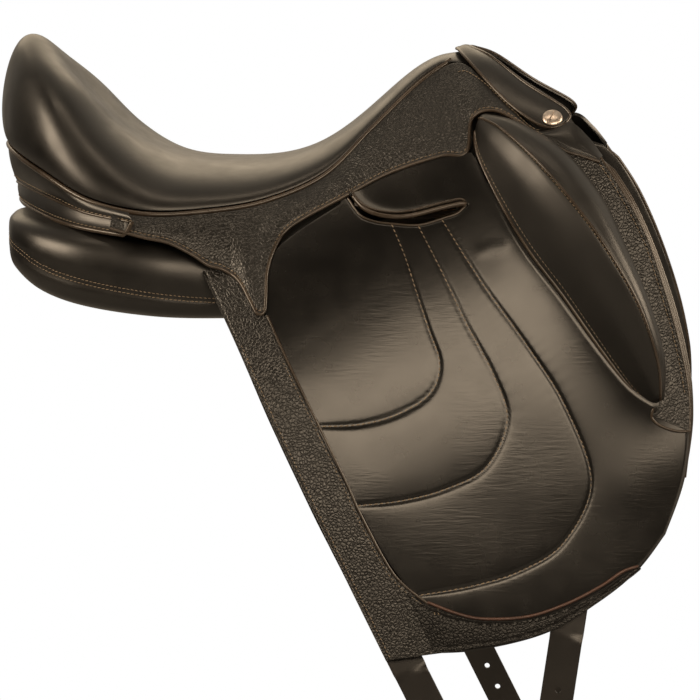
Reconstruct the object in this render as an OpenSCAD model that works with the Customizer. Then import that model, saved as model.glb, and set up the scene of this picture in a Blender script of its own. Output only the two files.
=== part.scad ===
// Dressage saddle with one flap a side, seen from its right: x runs forward, y to the left, z up.
// The origin lies on the horse's back, in the middle plane under the deepest part of the seat.

/* [Seat] */
// Length of the seat, from its end at the pommel to the back of the cantle
seat_l = 393; // [340:1:430]
// Width of the seat over the welts, at its widest
seat_w = 286; // [250:1:310]
// Height of the deepest part of the seat over the back
seat_z = 139; // [132:1:150]
// Rise of the seat to the pommel
pommel_rise = 89; // [80:1:96]
// Rise of the cantle's rim over the dish in front of it
rim_rise = 65; // [45:1:75]
// Thickness of the seat leather
cover_t = 2.4; // [1.6:0.1:3]
// Thickness of the seat padding over the tree
foam_t = 23; // [15:1:26]
// Diameter of the welt round the seat
welt_d = 4.4; // [3:0.1:5]

/* [Tree] */
// Thickness of the laminated tree
tree_t = 11; // [8:0.5:13]
// Length of the head arch along the saddle
head_l = 28; // [24:1:30]
// Radius of the head arch
head_r = 46; // [42:1:48]
// Thickness of the head arch
head_t = 13; // [10:0.5:15]
// Thickness of the head and gullet plates
plate_t = 2.5; // [1.5:0.1:3]
// Diameter of the rivets
rivet_d = 5; // [4:0.5:6]

/* [Flap] */
// Length of the flap, from its hinge line to its lower edge
flap_l = 394; // [370:1:410]
// Thickness of the flap leather
flap_t = 4; // [3:0.1:4.4]
// How far the flap spreads outwards from its hinge line
flap_spread = 75; // [65:1:85]
// Thickness of the skirt leather
skirt_t = 3.4; // [2.5:0.1:4]
// Thickness of the thigh pad at its edges and channels
pad_edge_t = 2.6; // [2:0.1:3]
// Height of the thigh pad's crown between its channels
pad_crown = 5; // [3:0.5:7]
// Thickness of the grained strips sewn on the flap
strip_t = 2.4; // [1.8:0.1:3]

/* [Knee block] */
// Height of the knee block's ridge over the flap
block_h = 50; // [35:1:60]
// Place of the ridge across the block, from its rear edge
block_ridge = 0.72; // [0.6:0.01:0.78]

/* [Panels] */
// Width of the gullet channel
gullet_w = 72; // [60:1:80]
// Thickness of the front panel under the flap
front_panel_t = 11; // [8:0.5:13]
// How far the front panel shows beyond the flap
front_panel_out = 9; // [5:0.5:12]

/* [Billets] */
// Width of a billet strap
billet_w = 27; // [24:0.5:28]
// Thickness of a billet strap
billet_t = 4; // [3:0.1:4.2]
// Length of a billet's tail below the flap
tail_l = 148; // [138:1:150]
// Number of holes in a billet
holes_n = 5; // [3:1:5]
// Diameter of a billet hole
hole_d = 5; // [4:0.1:6]
// Distance from hole to hole
hole_step = 22; // [18:0.5:23]

/* [Stirrup bars] */
// Length of a stirrup bar
bar_l = 66; // [58:1:70]
// Height of the stirrup bar's section
bar_h = 11; // [9:0.5:12]
// Thickness of the stirrup bar's section
bar_t = 8; // [7:0.5:9]
// Gap for the stirrup leather between bar and plate
bar_gap = 13; // [11:0.5:14]
// Diameter of the thumb catch's pin
pin_d = 3; // [2:0.5:3.5]

/* [Studs] */
// Diameter of the pommel studs
stud_d = 17; // [13:0.5:19]
// Height of a stud's head
stud_h = 4; // [3:0.5:5]

/* [Hidden] */
$fn = 48;

// Colours
LEATHER = "#221d1b";
GRAIN = "#2c2623";
STEEL = "#9c948c";
BEECH = "#b08a5a";
FOAM = "#c9bda6";
WEB = "#8d8468";

// Running room between neighbours
gap = 0.5;
rivet_head_h = 1.5;

// Curves and surfaces

function lerp(a, b, t) = a + (b - a) * t;
function total(v) = [for (x = v) 1] * v;
function unit(v) = v / norm(v);
function flip_y(p) = [p.x, -p.y, p.z];
function steps(n) = [for (i = [0:n]) i / n];
// A smooth curve through the points p, at t from 0 to 1
function curve(p, t) =
    let (n = len(p) - 1, i = min(floor(t * n), n - 1), f = t * n - i)
    let (a = p[max(i - 1, 0)], b = p[i], c = p[i + 1], d = p[min(i + 2, n)])
    (2 * b + (c - a) * f + (2 * a - 5 * b + 4 * c - d) * f * f
        + (3 * b - 3 * c + d - a) * f * f * f) / 2;
// The same for a curve that ends on the middle plane and crosses it squarely
function half_curve(p, t) =
    let (n = len(p) - 1, e = p[n - 1])
    curve(concat(p, [is_num(e) ? e : flip_y(e)]), t * n / (n + 1));
// The straight-sided line through the points p, at t from 0 to 1
function line(p, t) =
    let (n = len(p) - 1, i = min(floor(t * n), n - 1))
    lerp(p[i], p[i + 1], t * n - i);
// The point of the surface f at u, v, moved by d along the surface's normal
function raised(f, u, v, d, e = 0.004) =
    let (u0 = max(u - e, 0), u1 = min(u + e, 1), v0 = max(v - e, 0), v1 = min(v + e, 1))
    f(u, v) + d * unit(cross(f(u, v1) - f(u, v0), f(u1, v) - f(u0, v)));
// A grid of points on the surface f
function grid(f, us, vs) = [for (u = us) [for (v = vs) f(u, v)]];
function raised_grid(f, us, vs, d) = [for (u = us) [for (v = vs) raised(f, u, v, d)]];
// A right-hand grid and its mirror image as one grid, from right to left
function both_sides(g) = concat(g, [for (i = [len(g) - 2:-1:0]) [for (p = g[i]) flip_y(p)]]);

// Solids from grids and rings

module closed_solid(points, triangles) {
    outward = total([for (t = triangles) cross(points[t[0]], points[t[1]]) * points[t[2]]]) > 0;
    polyhedron(points, outward ? [for (t = triangles) [t[2], t[1], t[0]]] : triangles);
}

// The solid between two grids; zipped grids meet their own mirror image along their first column
module between(top, low, zipped = false) {
    rows = len(top);
    cols = len(top[0]);
    last = rows - 1;
    n = rows * cols;
    function at(i, j) = zipped && j == 0 && 2 * i > last ? (last - i) * cols : i * cols + j;
    function wall(a, b) = [[a, b, b + n], [a, b + n, a + n]];
    closed_solid(
        concat([for (r = top) each r], [for (r = low) each r]),
        concat(
            [for (i = [0:last - 1], j = [0:cols - 2]) each
                [[at(i, j), at(i + 1, j + 1), at(i, j + 1)], [at(i, j), at(i + 1, j), at(i + 1, j + 1)]]],
            [for (i = [0:last - 1], j = [0:cols - 2]) each
                [[at(i, j) + n, at(i, j + 1) + n, at(i + 1, j + 1) + n],
                 [at(i, j) + n, at(i + 1, j + 1) + n, at(i + 1, j) + n]]],
            [for (j = [0:cols - 2]) each wall(at(0, j), at(0, j + 1))],
            [for (j = [0:cols - 2]) each wall(at(last, j + 1), at(last, j))],
            [for (i = [0:last - 1]) each wall(at(i, cols - 1), at(i + 1, cols - 1))],
            zipped ? [] : [for (i = [0:last - 1]) each wall(at(i + 1, 0), at(i, 0))]
        )
    );
}

// The solid through a row of closed rings of points
module loft(rings) {
    m = len(rings[0]);
    last = len(rings) - 1;
    centres = [for (r = [rings[0], rings[last]]) total(r) / m];
    n = m * len(rings);
    closed_solid(
        concat([for (r = rings) each r], centres),
        concat(
            [for (i = [0:last - 1], j = [0:m - 1]) each
                let (k = (j + 1) % m)
                [[i * m + j, i * m + k, (i + 1) * m + k], [i * m + j, (i + 1) * m + k, (i + 1) * m + j]]],
            [for (j = [0:m - 1]) [n, (j + 1) % m, j]],
            [for (j = [0:m - 1]) [n + 1, last * m + j, last * m + (j + 1) % m]]
        )
    );
}

// Rings of a round cord along a path
function cord_rings(path, r, sides = 6) = [
    for (i = [0:len(path) - 1])
        let (t = unit(path[min(i + 1, len(path) - 1)] - path[max(i - 1, 0)]))
        let (s = unit(cross(t, [0, 0, 1])), w = cross(s, t))
        [for (k = [0:sides - 1]) path[i] + r * (s * cos(360 * k / sides) + w * sin(360 * k / sides))]
];

// Draws the left-hand mirror image of a right-hand piece
module on_left() {
    mirror([0, 1, 0]) children();
}

// The seat: sections run from its middle line out to the welt, and fan round the cantle

pommel_x = 190;
function along_seat(share) = pommel_x - seat_l * share;
// Where the welt runs: share of the length, share of the half width, height over the seat's deepest part
welt_points = [for (w = [
    [0, 0.27, 0.98 * pommel_rise], [0.07, 0.43, 0.75 * pommel_rise], [0.163, 0.59, 0.34 * pommel_rise],
    [0.26, 0.73, -8], [0.38, 0.85, -29], [0.5, 0.94, -37], [0.63, 1, -39], [0.755, 0.95, -29],
    [0.86, 0.76, -9], [0.945, 0.44, 7], [0.985, 0, 14]
]) [along_seat(w[0]), -w[1] * seat_w / 2, seat_z + w[2]]];
spine_shares = [0, 0.07, 0.168, 0.26, 0.37, 0.483, 0.598, 0.672, 0.725, 0.761, 0.784];
rim_shares = [0, 0, 0, 0, 0, 0, 0.05, 0.31, 0.68, 0.89, 1];
dish_x = along_seat(spine_shares[10]);
dish_rise = 51;
cantle_out = 11;
function spine_z(x) = seat_z + (x > 0
    ? pommel_rise * (1 - cos(180 * pow(min(x / pommel_x, 1), 1.5))) / 2
    : dish_rise * pow(x / dish_x, 2.6));
function welt(t) = half_curve(welt_points, t);
function spine(t) =
    let (x = along_seat(half_curve(spine_shares, t)))
    [x, 0, spine_z(x)];
// Inwards from the welt, padding thins out beyond the first few millimetres
function side_inset(d) = d < 3 ? d : 3 + 0.4 * (d - 3);
// The seat's surface at t along the welt and v from the middle line to the welt, d under the leather
function seat_point(t, v, d = 0) =
    let (c = spine(t) - [0, 0, d], w = welt(t), rim = half_curve(rim_shares, t))
    let (out = [w.x - c.x, w.y], far = norm(out), edge = (far - side_inset(d)) / far)
    let (s = edge * pow(sin(90 * v), 0.8)
        + (v > 0.5 ? rim * cantle_out / far * sin(360 * (v - 0.5)) : 0))
    [c.x + out.x * s, out.y * s,
     lerp(c.z, w.z, 1 - pow(cos(90 * v), 1.2)) + rim * rim_rise * pow(sin(180 * v), 2)];
function seat_grid(ts, vs, d) = both_sides(grid(function (t, v) seat_point(t, v, d), ts, vs));

tree_top = cover_t + foam_t + 3 * gap;
head_x = along_seat(0.07) + plate_t + rivet_head_h + gap;
// One set of sections and lines for all that nests under the seat
seat_steps = steps(20);
under_steps = [for (t = seat_steps) if (t > 0.099) t];
rail_steps = [for (t = under_steps) if (t < 0.91) t];
across = [for (v = steps(7)) 0.955 * v];

module seat_cover() {
    color(LEATHER)
        between(seat_grid(seat_steps, across, 0), seat_grid(seat_steps, across, cover_t), zipped = true);
}

module seat_foam() {
    color(FOAM)
        between(seat_grid(under_steps, across, cover_t + gap),
            seat_grid(under_steps, across, cover_t + foam_t), zipped = true);
}

module seat_webbing() {
    ts = [for (t = under_steps) if (t < 0.66) t];
    vs = [for (j = [0:2]) across[j]];
    color(WEB)
        between(seat_grid(ts, vs, tree_top), seat_grid(ts, vs, tree_top + 1.6), zipped = true);
}

module tree_frame() {
    vs = [for (j = [3:6]) across[j]];
    color(BEECH)
        between(seat_grid(under_steps, vs, tree_top), seat_grid(under_steps, vs, tree_top + tree_t));
}

// Leather that hangs from the tree's rail to the panel, behind the stirrup bar
module bar_lining() {
    lining_t = 2;
    low_y = -84;
    ts = [for (t = steps(8)) lerp(0.11, 0.34, t)];
    lining_point = function (t, v)
        let (p = seat_point(t, across[6], tree_top + tree_t) + [0, 1.5, -6])
        lerp(p, [p.x, low_y, lerp(94, 79.5, (t - 0.11) / 0.23)], v);
    color(LEATHER)
        between(grid(lining_point, ts, steps(2)),
            grid(function (t, v) lining_point(t, v) + [0, lining_t, 0], ts, steps(2)));
}

module spring_steels() {
    vs = [across[4], across[5]];
    under = tree_top + tree_t + gap;
    color(STEEL)
        for (side = [0, 1])
            mirror([0, side, 0])
                between(grid(function (t, v) seat_point(t, v, under), rail_steps, vs),
                    grid(function (t, v) seat_point(t, v, under + 2), rail_steps, vs));
}

module seat_welt() {
    r = welt_d / 2;
    path = [for (t = steps(26)) welt(0.004 + 0.996 * t) + [0, 0, -r - 1.4 * gap]];
    color(LEATHER)
        loft(cord_rings(concat(path, [for (i = [len(path) - 2:-1:0]) flip_y(path[i])]), r));
}

// The tree's head: a round arch on two straight points, with its plates riveted through

head_z = seat_z + 28;
point_y = 90;
point_bend_z = seat_z - 6;
point_low_z = seat_z - 41;
module arch_outline(inset) {
    difference() {
        union() {
            translate([0, head_z])
                circle(head_r - inset);
            polygon([
                [-point_y + inset, point_low_z], [-point_y + inset, point_bend_z],
                [-head_r * cos(32) + inset, head_z + head_r * sin(32) - inset],
                [head_r * cos(32) - inset, head_z + head_r * sin(32) - inset],
                [point_y - inset, point_bend_z], [point_y - inset, point_low_z]
            ]);
        }
        translate([0, head_z])
            circle(head_r - head_t + inset);
        polygon([
            [-point_y + head_t - inset, point_low_z - 1], [-point_y + head_t - inset, point_bend_z - 5],
            [-(head_r - head_t + inset) * cos(32), head_z + (head_r - head_t + inset) * sin(32)],
            [(head_r - head_t + inset) * cos(32), head_z + (head_r - head_t + inset) * sin(32)],
            [point_y - head_t + inset, point_bend_z - 5], [point_y - head_t + inset, point_low_z - 1]
        ]);
    }
}

// Draws an outline of the y-z plane as a slab of thickness l from x on
module slab(x, l) {
    translate([x, 0, 0])
        rotate([90, 0, 90])
            linear_extrude(l)
                children();
}

rivet_places = [for (side = [-1, 1], deg = [25, 62]) [side * (head_r - head_t / 2) * sin(deg),
    head_z + (head_r - head_t / 2) * cos(deg)]];
module rivet_shanks(d) {
    for (p = rivet_places)
        translate([head_x - 2 * plate_t, p[0], p[1]])
            rotate([0, 90, 0])
                cylinder(d = d, h = head_l + 4 * plate_t);
}

module tree_head() {
    color(BEECH)
        difference() {
            slab(head_x, head_l)
                arch_outline(0);
            rivet_shanks(rivet_d + 0.2);
            bar_rivet_shanks(rivet_d + 0.2);
            on_left()
                bar_rivet_shanks(rivet_d + 0.2);
        }
}

// A plate covers the arch's top and stops above the points
module arch_plate(x) {
    difference() {
        slab(x, plate_t)
            intersection() {
                arch_outline(1);
                translate([-head_r - 20, head_z - 22])
                    square([2 * head_r + 40, head_r + 30]);
            }
        rivet_shanks(rivet_d + 0.2);
    }
}

module head_plate() {
    color(STEEL)
        arch_plate(head_x + head_l);
}

module gullet_plate() {
    color(STEEL)
        arch_plate(head_x - plate_t);
}

module head_rivets() {
    color(STEEL)
        for (p = rivet_places)
            translate([head_x - plate_t, p[0], p[1]])
                rotate([0, 90, 0]) {
                    cylinder(d = rivet_d, h = head_l + 2 * plate_t);
                    translate([0, 0, -rivet_head_h])
                        cylinder(d = 1.8 * rivet_d, h = rivet_head_h);
                    translate([0, 0, head_l + 2 * plate_t])
                        cylinder(d = 1.8 * rivet_d, h = rivet_head_h);
                }
}

// The flap's sheet: a runs along the hinge line to the front, r down the flap, d out of the leather

hinge = [40, -140, 72];
hinge_slope = 33;
hinge_in = 0.25;
spread_run = 110;
function spread(r) = r > 0 ? flap_spread * (1 - exp(-r / spread_run)) : flap_spread / spread_run * r;
function spread_rate(r) = flap_spread / spread_run * exp(-max(r, 0) / spread_run);
function flap_normal(r) = unit(cross(
    [sin(hinge_slope), -spread_rate(r), -cos(hinge_slope)],
    [cos(hinge_slope), hinge_in, sin(hinge_slope)]));
function flap_point(p, d = 0) =
    let (a = p[0], r = p[1])
    hinge + [
        a * cos(hinge_slope) + r * sin(hinge_slope),
        a * hinge_in - spread(r),
        a * sin(hinge_slope) - r * cos(hinge_slope)
    ] + d * flap_normal(r);
// The flap's outer face over a place in the side view
function flap_y(x, z) =
    let (a = (x - hinge.x) * cos(hinge_slope) + (z - hinge.z) * sin(hinge_slope))
    let (r = (x - hinge.x) * sin(hinge_slope) - (z - hinge.z) * cos(hinge_slope))
    hinge.y + a * hinge_in - spread(r);
function flap_grid(f, us, vs, d) = grid(function (u, v) flap_point(f(u, v), d), us, vs);

// A leather sheet of thickness t on the flap, over the outline f, from d outwards
module flap_sheet(f, us, vs, d, t) {
    between(flap_grid(f, us, vs, d + t), flap_grid(f, us, vs, d));
}

// Outlines on the flap, as places [a, r]; what hangs at the lower edge follows the flap's length
low = flap_l - 394;
flap_top = [
    [-52, 1], [-35, 8], [-28, 20], [-29.5, 46], [-22, 47.5], [-10, 30], [0, 18], [14, 9], [45, 6], [75, 8.5],
    [79, 18], [93, 38], [113, 53], [143, 66], [157, 66], [163, 58], [167, 23], [184, 33], [207, 9],
    [236, 48], [254, 97], [270, 95]
];
flap_bottom = [[-88, 338 + low], [-63, 348 + low], [-24, 371 + low], [30, 391 + low], [80, 394 + low],
    [120, 390 + low], [154, 378 + low]];
flap_front = [[270, 95], [269, 140], [258, 198], [242, 256], [219, 308], [190, 348 + low], [154, 378 + low]];
function flap_rear(r) = -51 - 0.11 * r;
flap_outline = function (u, v)
    let (top = line(flap_top, u), bottom = curve(flap_bottom, u))
    let (rear = lerp(flap_top[0], flap_bottom[0], v), front = curve(flap_front, v))
    lerp(top, bottom, v) + lerp(rear, front, u)
        - lerp(lerp(flap_top[0], flap_top[21], u), lerp(flap_bottom[0], flap_bottom[6], u), v);

module flap() {
    vs = [for (v = steps(9)) pow(v, 1.2)];
    color(GRAIN)
        flap_sheet(flap_outline, steps(21), vs, -flap_t, flap_t);
}

// The thigh pad: four padded bands between five lines that run from the stirrup slot to the rear edge
pad_lines = [
    [[78, 13], [62, 8], [45, 7], [28, 7], [15, 10], [5, 16], [-5, 26], [-13, 39], [-21, 53]],
    [[100, 46], [95, 72], [88, 102], [81, 132], [74, 160], [55, 176], [25, 176], [-6, 166], [-35, 149]],
    [[118, 58], [114, 100], [109, 145], [106, 190], [96, 228], [62, 251], [25, 248], [-10, 236], [-40, 221]],
    [[135, 66], [137, 125], [141, 185], [141, 245], [126, 308], [82, 337 + low], [40, 337 + low],
        [0, 325 + low], [-35, 310 + low]],
    [[162, 64], [171, 110], [175, 175], [181, 250], [206, 320], [150, 377 + low], [75, 381 + low],
        [8, 363 + low], [-37, 317 + low]]
];
pad_bands = len(pad_lines) - 1;
// The pad lies a little off the flap, whose facets it crosses
pad_seat = 0.9;
pad_outline = function (u, v)
    let (i = min(floor(u * pad_bands), pad_bands - 1))
    lerp(curve(pad_lines[i], v), curve(pad_lines[i + 1], v), u * pad_bands - i);
// The crown swells between the channels and is drawn in at both ends of each band
function pad_height(u, v) =
    let (share = u * pad_bands - floor(u * pad_bands))
    pad_edge_t + pad_crown * pow(sin(180 * share), 0.7) * pow(sin(180 * v), 0.35);

module flap_pad() {
    us = steps(16);
    vs = steps(22);
    color(LEATHER)
        between(grid(function (u, v) flap_point(pad_outline(u, v), pad_seat + pad_height(u, v)), us, vs),
            flap_grid(pad_outline, us, vs, pad_seat));
}

// The lobe of leather over the stirrup slot, sewn to the flap in front of the slot
guard_top = [[82, 6], [105, 8.5], [130, 12], [152, 18], [170, 27], [180, 33]];
guard_low = [[87, 9], [93, 25], [118, 37], [144, 49], [158, 56], [176, 58]];
guard_outline = function (u, v) lerp(curve(guard_top, v), curve(guard_low, v), u);
module slot_guard() {
    color(LEATHER)
        flap_sheet(guard_outline, steps(3), steps(9), gap, strip_t);
}

// The knee block: a wedge that rises from its rear edge to a ridge near its front edge
block_rear = [[196, 16], [185, 38], [179, 85], [178, 125], [182, 170], [185, 220], [190, 261], [199, 284]];
block_front = [[206, 10], [229, 35], [248, 73], [254, 120], [248, 165], [239, 212], [226, 256], [209, 285]];
block_rise = [0.16, 0.45, 0.76, 0.92, 1, 0.96, 0.72, 0.24];
// Across the block: share of the way to the ridge or past it, share of the ridge's height
block_rear_face = [[0, 0.05], [0.2, 0.3], [0.55, 0.74], [0.85, 0.95], [1, 1]];
block_front_face = [[0.45, 0.86], [0.8, 0.5], [1, 0.05]];
function block_ring(s) =
    let (back = curve(block_rear, s), front = curve(block_front, s), h = block_h * curve(block_rise, s))
    concat(
        [for (q = block_rear_face) flap_point(lerp(back, front, block_ridge * q[0]), gap + h * q[1])],
        [for (q = block_front_face)
            flap_point(lerp(back, front, lerp(block_ridge, 1, q[0])), gap + h * q[1])],
        [for (w = [1, 0.66, 0.33, 0]) flap_point(lerp(back, front, w), gap)]
    );
module knee_block() {
    color(LEATHER)
        loft([for (s = steps(15)) block_ring(s)]);
}

// The grained strip between the knee block and the flap's front edge
strip_in = [[256, 99], [257, 123], [252, 160], [243, 206], [231, 251], [214, 286], [202, 293]];
strip_out = [[269, 97], [268, 123], [265, 165], [256, 203], [242, 252], [228, 290], [212, 318]];
strip_outline = function (u, v) lerp(curve(strip_in, v), curve(strip_out, v), u);
module knee_strip() {
    color(GRAIN)
        flap_sheet(strip_outline, steps(2), steps(12), gap, strip_t);
}

// The grained strip down the flap's rear edge
rear_strip_in = [[-33, 23], [-31, 50], [-33, 90], [-39, 146], [-43, 222], [-45, 257], [-43, 298],
    [-30, 366 + low]];
rear_strip_outline = function (u, v)
    let (r = lerp(16, 336 + low, v))
    lerp([flap_rear(r) + 1, r], curve(rear_strip_in, v), u);
module rear_strip() {
    color(GRAIN)
        flap_sheet(rear_strip_outline, steps(2), steps(14), gap, strip_t);
}

// The grained guard along the flap's lower edge
bottom_in = [[-36, 323 + low], [-20, 346 + low], [12, 370 + low], [45, 381 + low], [80, 386 + low],
    [120, 387 + low]];
bottom_out = [[-27, 366 + low], [0, 379 + low], [30, 389.5 + low], [58, 392.5 + low], [88, 392.5 + low],
    [120, 389 + low]];
bottom_outline = function (u, v) lerp(curve(bottom_in, v), curve(bottom_out, v), u);
module bottom_guard() {
    color(GRAIN)
        flap_sheet(bottom_outline, steps(2), steps(10), gap, strip_t);
}

// The skirt: hangs from under the welt, and ends in a tail behind and a tab in front of it
// Its lower edge: places [x, z], each with its place on the welt, or below 0 on the way to the front end
skirt_low = [
    [-74, 82, 0.64], [-58, 78, 0.6], [-38, 75, 0.56], [-18, 64, 0.52], [-4, 56, 0.49], [18, 50, 0.46],
    [31, 39, 0.44], [40, 22, 0.425], [45, 23, 0.415], [45, 45, 0.4], [50, 70, 0.385], [75, 95, 0.34],
    [105, 111, 0.27], [143, 131, 0.18], [185, 145, 0.1], [209, 147, 0.04], [211, 178, 0], [231, 182, -0.3],
    [259, 168, -0.7], [280, 155, -1]
];
skirt_hang = [0, 0, -welt_d - 4 * gap - 1.2 * skirt_t];
skirt_front = [272, -93, 159];
tail_y = -153;
tail_share = 5 / 19;
skirt_point = function (u, v)
    let (q = line(skirt_low, u), x = q[0], z = q[1], t = q[2])
    let (top = lerp(welt(max(t, 0)) + skirt_hang, skirt_front, max(-t, 0)))
    let (y = u < tail_share ? min(tail_y, flap_y(x, z) - 1) : flap_y(x, z) - 1)
    lerp(top, [x, y, z], v) + [0, -3 * sin(180 * v), 0];
module skirt() {
    color(GRAIN)
        between(raised_grid(skirt_point, steps(38), steps(3), skirt_t),
            grid(skirt_point, steps(38), steps(3)));
}

// Smooth leather round the cantle, from the welt down, and the panel's facing below it
facing_low_points = [[-80, -147, 92], [-108, -136, 97], [-135, -112, 105], [-160, -75, 112],
    [-178, -38, 116], [-186, 0, 116]];
rear_low_points = [[-78, -150, 78], [-108, -140, 84], [-134, -118, 89], [-157, -82, 95], [-174, -44, 100],
    [-182, 0, 102]];
// What follows the cantle moves with the seat's length and width
function cantle_fit(p) = [p.x - (seat_l - 393), p.y * seat_w / 286, p.z + seat_z - 139];
function facing_low(u) = cantle_fit(half_curve(facing_low_points, u));
facing_point = function (u, v)
    lerp(welt(lerp(skirt_low[0][2] + 0.012, 1, u)) + [0, 0, -welt_d - 2.5 * gap], facing_low(u), v);
rear_facing_point = function (u, v)
    lerp(facing_low(u) - [0, 0, 2 * gap], cantle_fit(half_curve(rear_low_points, u)), v);
module band(f, t) {
    us = steps(12);
    vs = steps(2);
    between(both_sides(grid(f, us, vs)),
        both_sides([for (u = us) [for (v = vs)
            let (p = f(u, v), q = unit([p.x + 90 + seat_l - 393, p.y])) p - t * [q.x, q.y, 0]]]));
}
module cantle_facing() {
    color(LEATHER)
        band(facing_point, strip_t);
}
module rear_facing() {
    color(LEATHER)
        band(rear_facing_point, strip_t);
}

// The pommel: a cover that runs from stud to stud over the head, and a facing round the front arch
cover_front = [[291, -97, 176], [284, -90, 185], [256, -72, 204], [225, -44, 226], [208, -18, 233],
    [204, 0, 234]];
cover_rear = [[284, -106, 169], [267, -104, 171], [241, -90, 188], [214, -64, 214], [196, -28, 231],
    [192, 0, 232]];
// The pommel's leather keeps its place over the seat
function pommel_fit(p) = p + [0, 0, seat_z + pommel_rise - 228];
cover_point = function (t, v) pommel_fit(lerp(half_curve(cover_rear, t), half_curve(cover_front, t), v));
cover_lift = -3.2;
cover_crown = 2.5;
module pommel_cover() {
    ts = steps(14);
    vs = steps(4);
    color(LEATHER)
        between(
            both_sides([for (t = ts) [for (v = vs)
                raised(cover_point, t, v, cover_lift + cover_t + cover_crown * sin(180 * v))]]),
            both_sides([for (t = ts) [for (v = vs) raised(cover_point, t, v, cover_lift)]]));
}

arch_out = [[302, -102, 154], [292, -96, 167], [279, -88, 181.5], [252, -70, 200.5], [222, -42, 221.5],
    [205, -17, 228.5], [201, 0, 229.5]];
arch_in = [[294, -79, 142], [284, -74, 152], [268, -66, 165], [242, -48, 184], [220, -26, 197],
    [208, -10, 203], [206, 0, 204]];
arch_point = function (t, v) pommel_fit(lerp(half_curve(arch_out, t), half_curve(arch_in, t), v));
module front_facing() {
    ts = steps(14);
    vs = steps(2);
    color(LEATHER)
        between(both_sides(raised_grid(arch_point, ts, vs, 0)),
            both_sides(raised_grid(arch_point, ts, vs, -cover_t)));
}

stud_t = 0.17;
stud_v = 0.4;
module stud() {
    foot = raised(cover_point, stud_t, stud_v, cover_lift + cover_t + cover_crown + gap);
    out = unit(raised(cover_point, stud_t, stud_v, 9) - raised(cover_point, stud_t, stud_v, 0));
    translate(foot)
        rotate([0, acos(out.z), atan2(out.y, out.x)])
            difference() {
                cylinder(d = stud_d, h = stud_h);
                translate([-stud_d, -1, stud_h - 1])
                    cube([2 * stud_d, 2, 2]);
            }
}
module pommel_studs() {
    color(STEEL) {
        stud();
        on_left()
            stud();
    }
}

// The panels: stuffed cushions on each side of the gullet, deepest behind
panel_x = [-184, -176, -150, -110, -50, 10, 70, 130, 185, 230, 258];
panel_inner = [26, 12, 4, 1, 0, 0, 1, 4, 10, 16, 22];
panel_outer = [84, 108, 134, 150, 155, 145, 147, 146, 139, 131, 124];
panel_bottom = [62, 45, 25, 12, 4, 3, 6, 15, 36, 64, 92];
panel_top = [88, 88, 84, 77, 69, 63, 66, 72, 78, 102, 122];
panel_tilt = 0.2;
function panel_ring(t) =
    let (y0 = gullet_w / 2 + curve(panel_inner, t), y1 = curve(panel_outer, t))
    let (z0 = curve(panel_bottom, t), z1 = curve(panel_top, t))
    [for (deg = [0:24:336])
        let (c = cos(deg), s = sin(deg))
        let (y = (y0 + y1) / 2 + (y1 - y0) / 2 * sign(c) * pow(abs(c), 0.6))
        [curve(panel_x, t), -y,
         (z0 + z1) / 2 + (z1 - z0) / 2 * sign(s) * pow(abs(s), 0.6) + panel_tilt * (y1 - y)]];
module panel() {
    color(LEATHER)
        loft([for (t = steps(20)) panel_ring(t)]);
}

// The lining over the gullet channel, on the inner edges of both panels
lining_x = [-150, -90, -30, 30, 90, 140];
lining_z = [113.7, 101.7, 90.7, 82.7, 80.7, 88.7];
module gullet_lining() {
    half = gullet_w / 2 + 8;
    us = steps(10);
    lining_point = function (u, y) [curve(lining_x, u), y, curve(lining_z, u)];
    color(WEB)
        between(grid(function (u, y) lining_point(u, y) + [0, 0, 1.6], us, [-half, half]),
            grid(lining_point, us, [-half, half]));
}

// The front panel under the flap, a thin cushion that shows beyond the flap's front edge
strap_room = billet_t + 2.4;
panel_d = -flap_t - strap_room / 2 - billet_t / 2 - gap;
front_panel_rear = [[175, 98], [165, 150], [150, 200], [140, 250], [150, 296], [178, 330]];
front_panel_front = [[270, 104], [268, 140], [258, 198], [240, 256], [217, 304], [190, 339]];
front_panel_outline = function (u, v)
    lerp(curve(front_panel_rear, v), curve(front_panel_front, v) + [front_panel_out, front_panel_out / 3], u);
module front_panel() {
    us = steps(5);
    vs = steps(11);
    color(LEATHER)
        between(flap_grid(front_panel_outline, us, vs, panel_d),
            grid(function (u, v) flap_point(front_panel_outline(u, v),
                panel_d - front_panel_t * (0.35 + 0.65 * pow(sin(180 * lerp(0.08, 0.92, u)), 0.6))), us, vs));
}

// The billets: a web under the flap, and a tail that hangs from it below the flap
strap_d = -flap_t - (strap_room + billet_t) / 2;
// Each strap: its top and the hinge of its tail, as places on the flap
front_strap = [[199, 226], [43, 404 + low]];
rear_strap = [[-37, 6], [-76, 358 + low]];
function strap_way(strap) =
    let (p = flap_point(strap[0]), q = flap_point(strap[1]))
    unit([q.x - p.x, 0, q.z - p.z]);
function strap_lean(strap) = atan2(strap_way(strap).x, -strap_way(strap).z);
function tail_hinge(strap) = flap_point(strap[1], strap_d + billet_t / 2);

module billet_web(strap) {
    way = unit(strap[1] - strap[0]);
    side = [way[1], -way[0]];
    stop = norm(strap[1] - strap[0]) - billet_t / 2 - gap;
    web_outline = function (u, v) strap[0] + way * stop * v + side * billet_w * (u - 0.5);
    color(LEATHER)
        flap_sheet(web_outline, [0, 1], steps(9), strap_d, billet_t);
}

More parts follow.
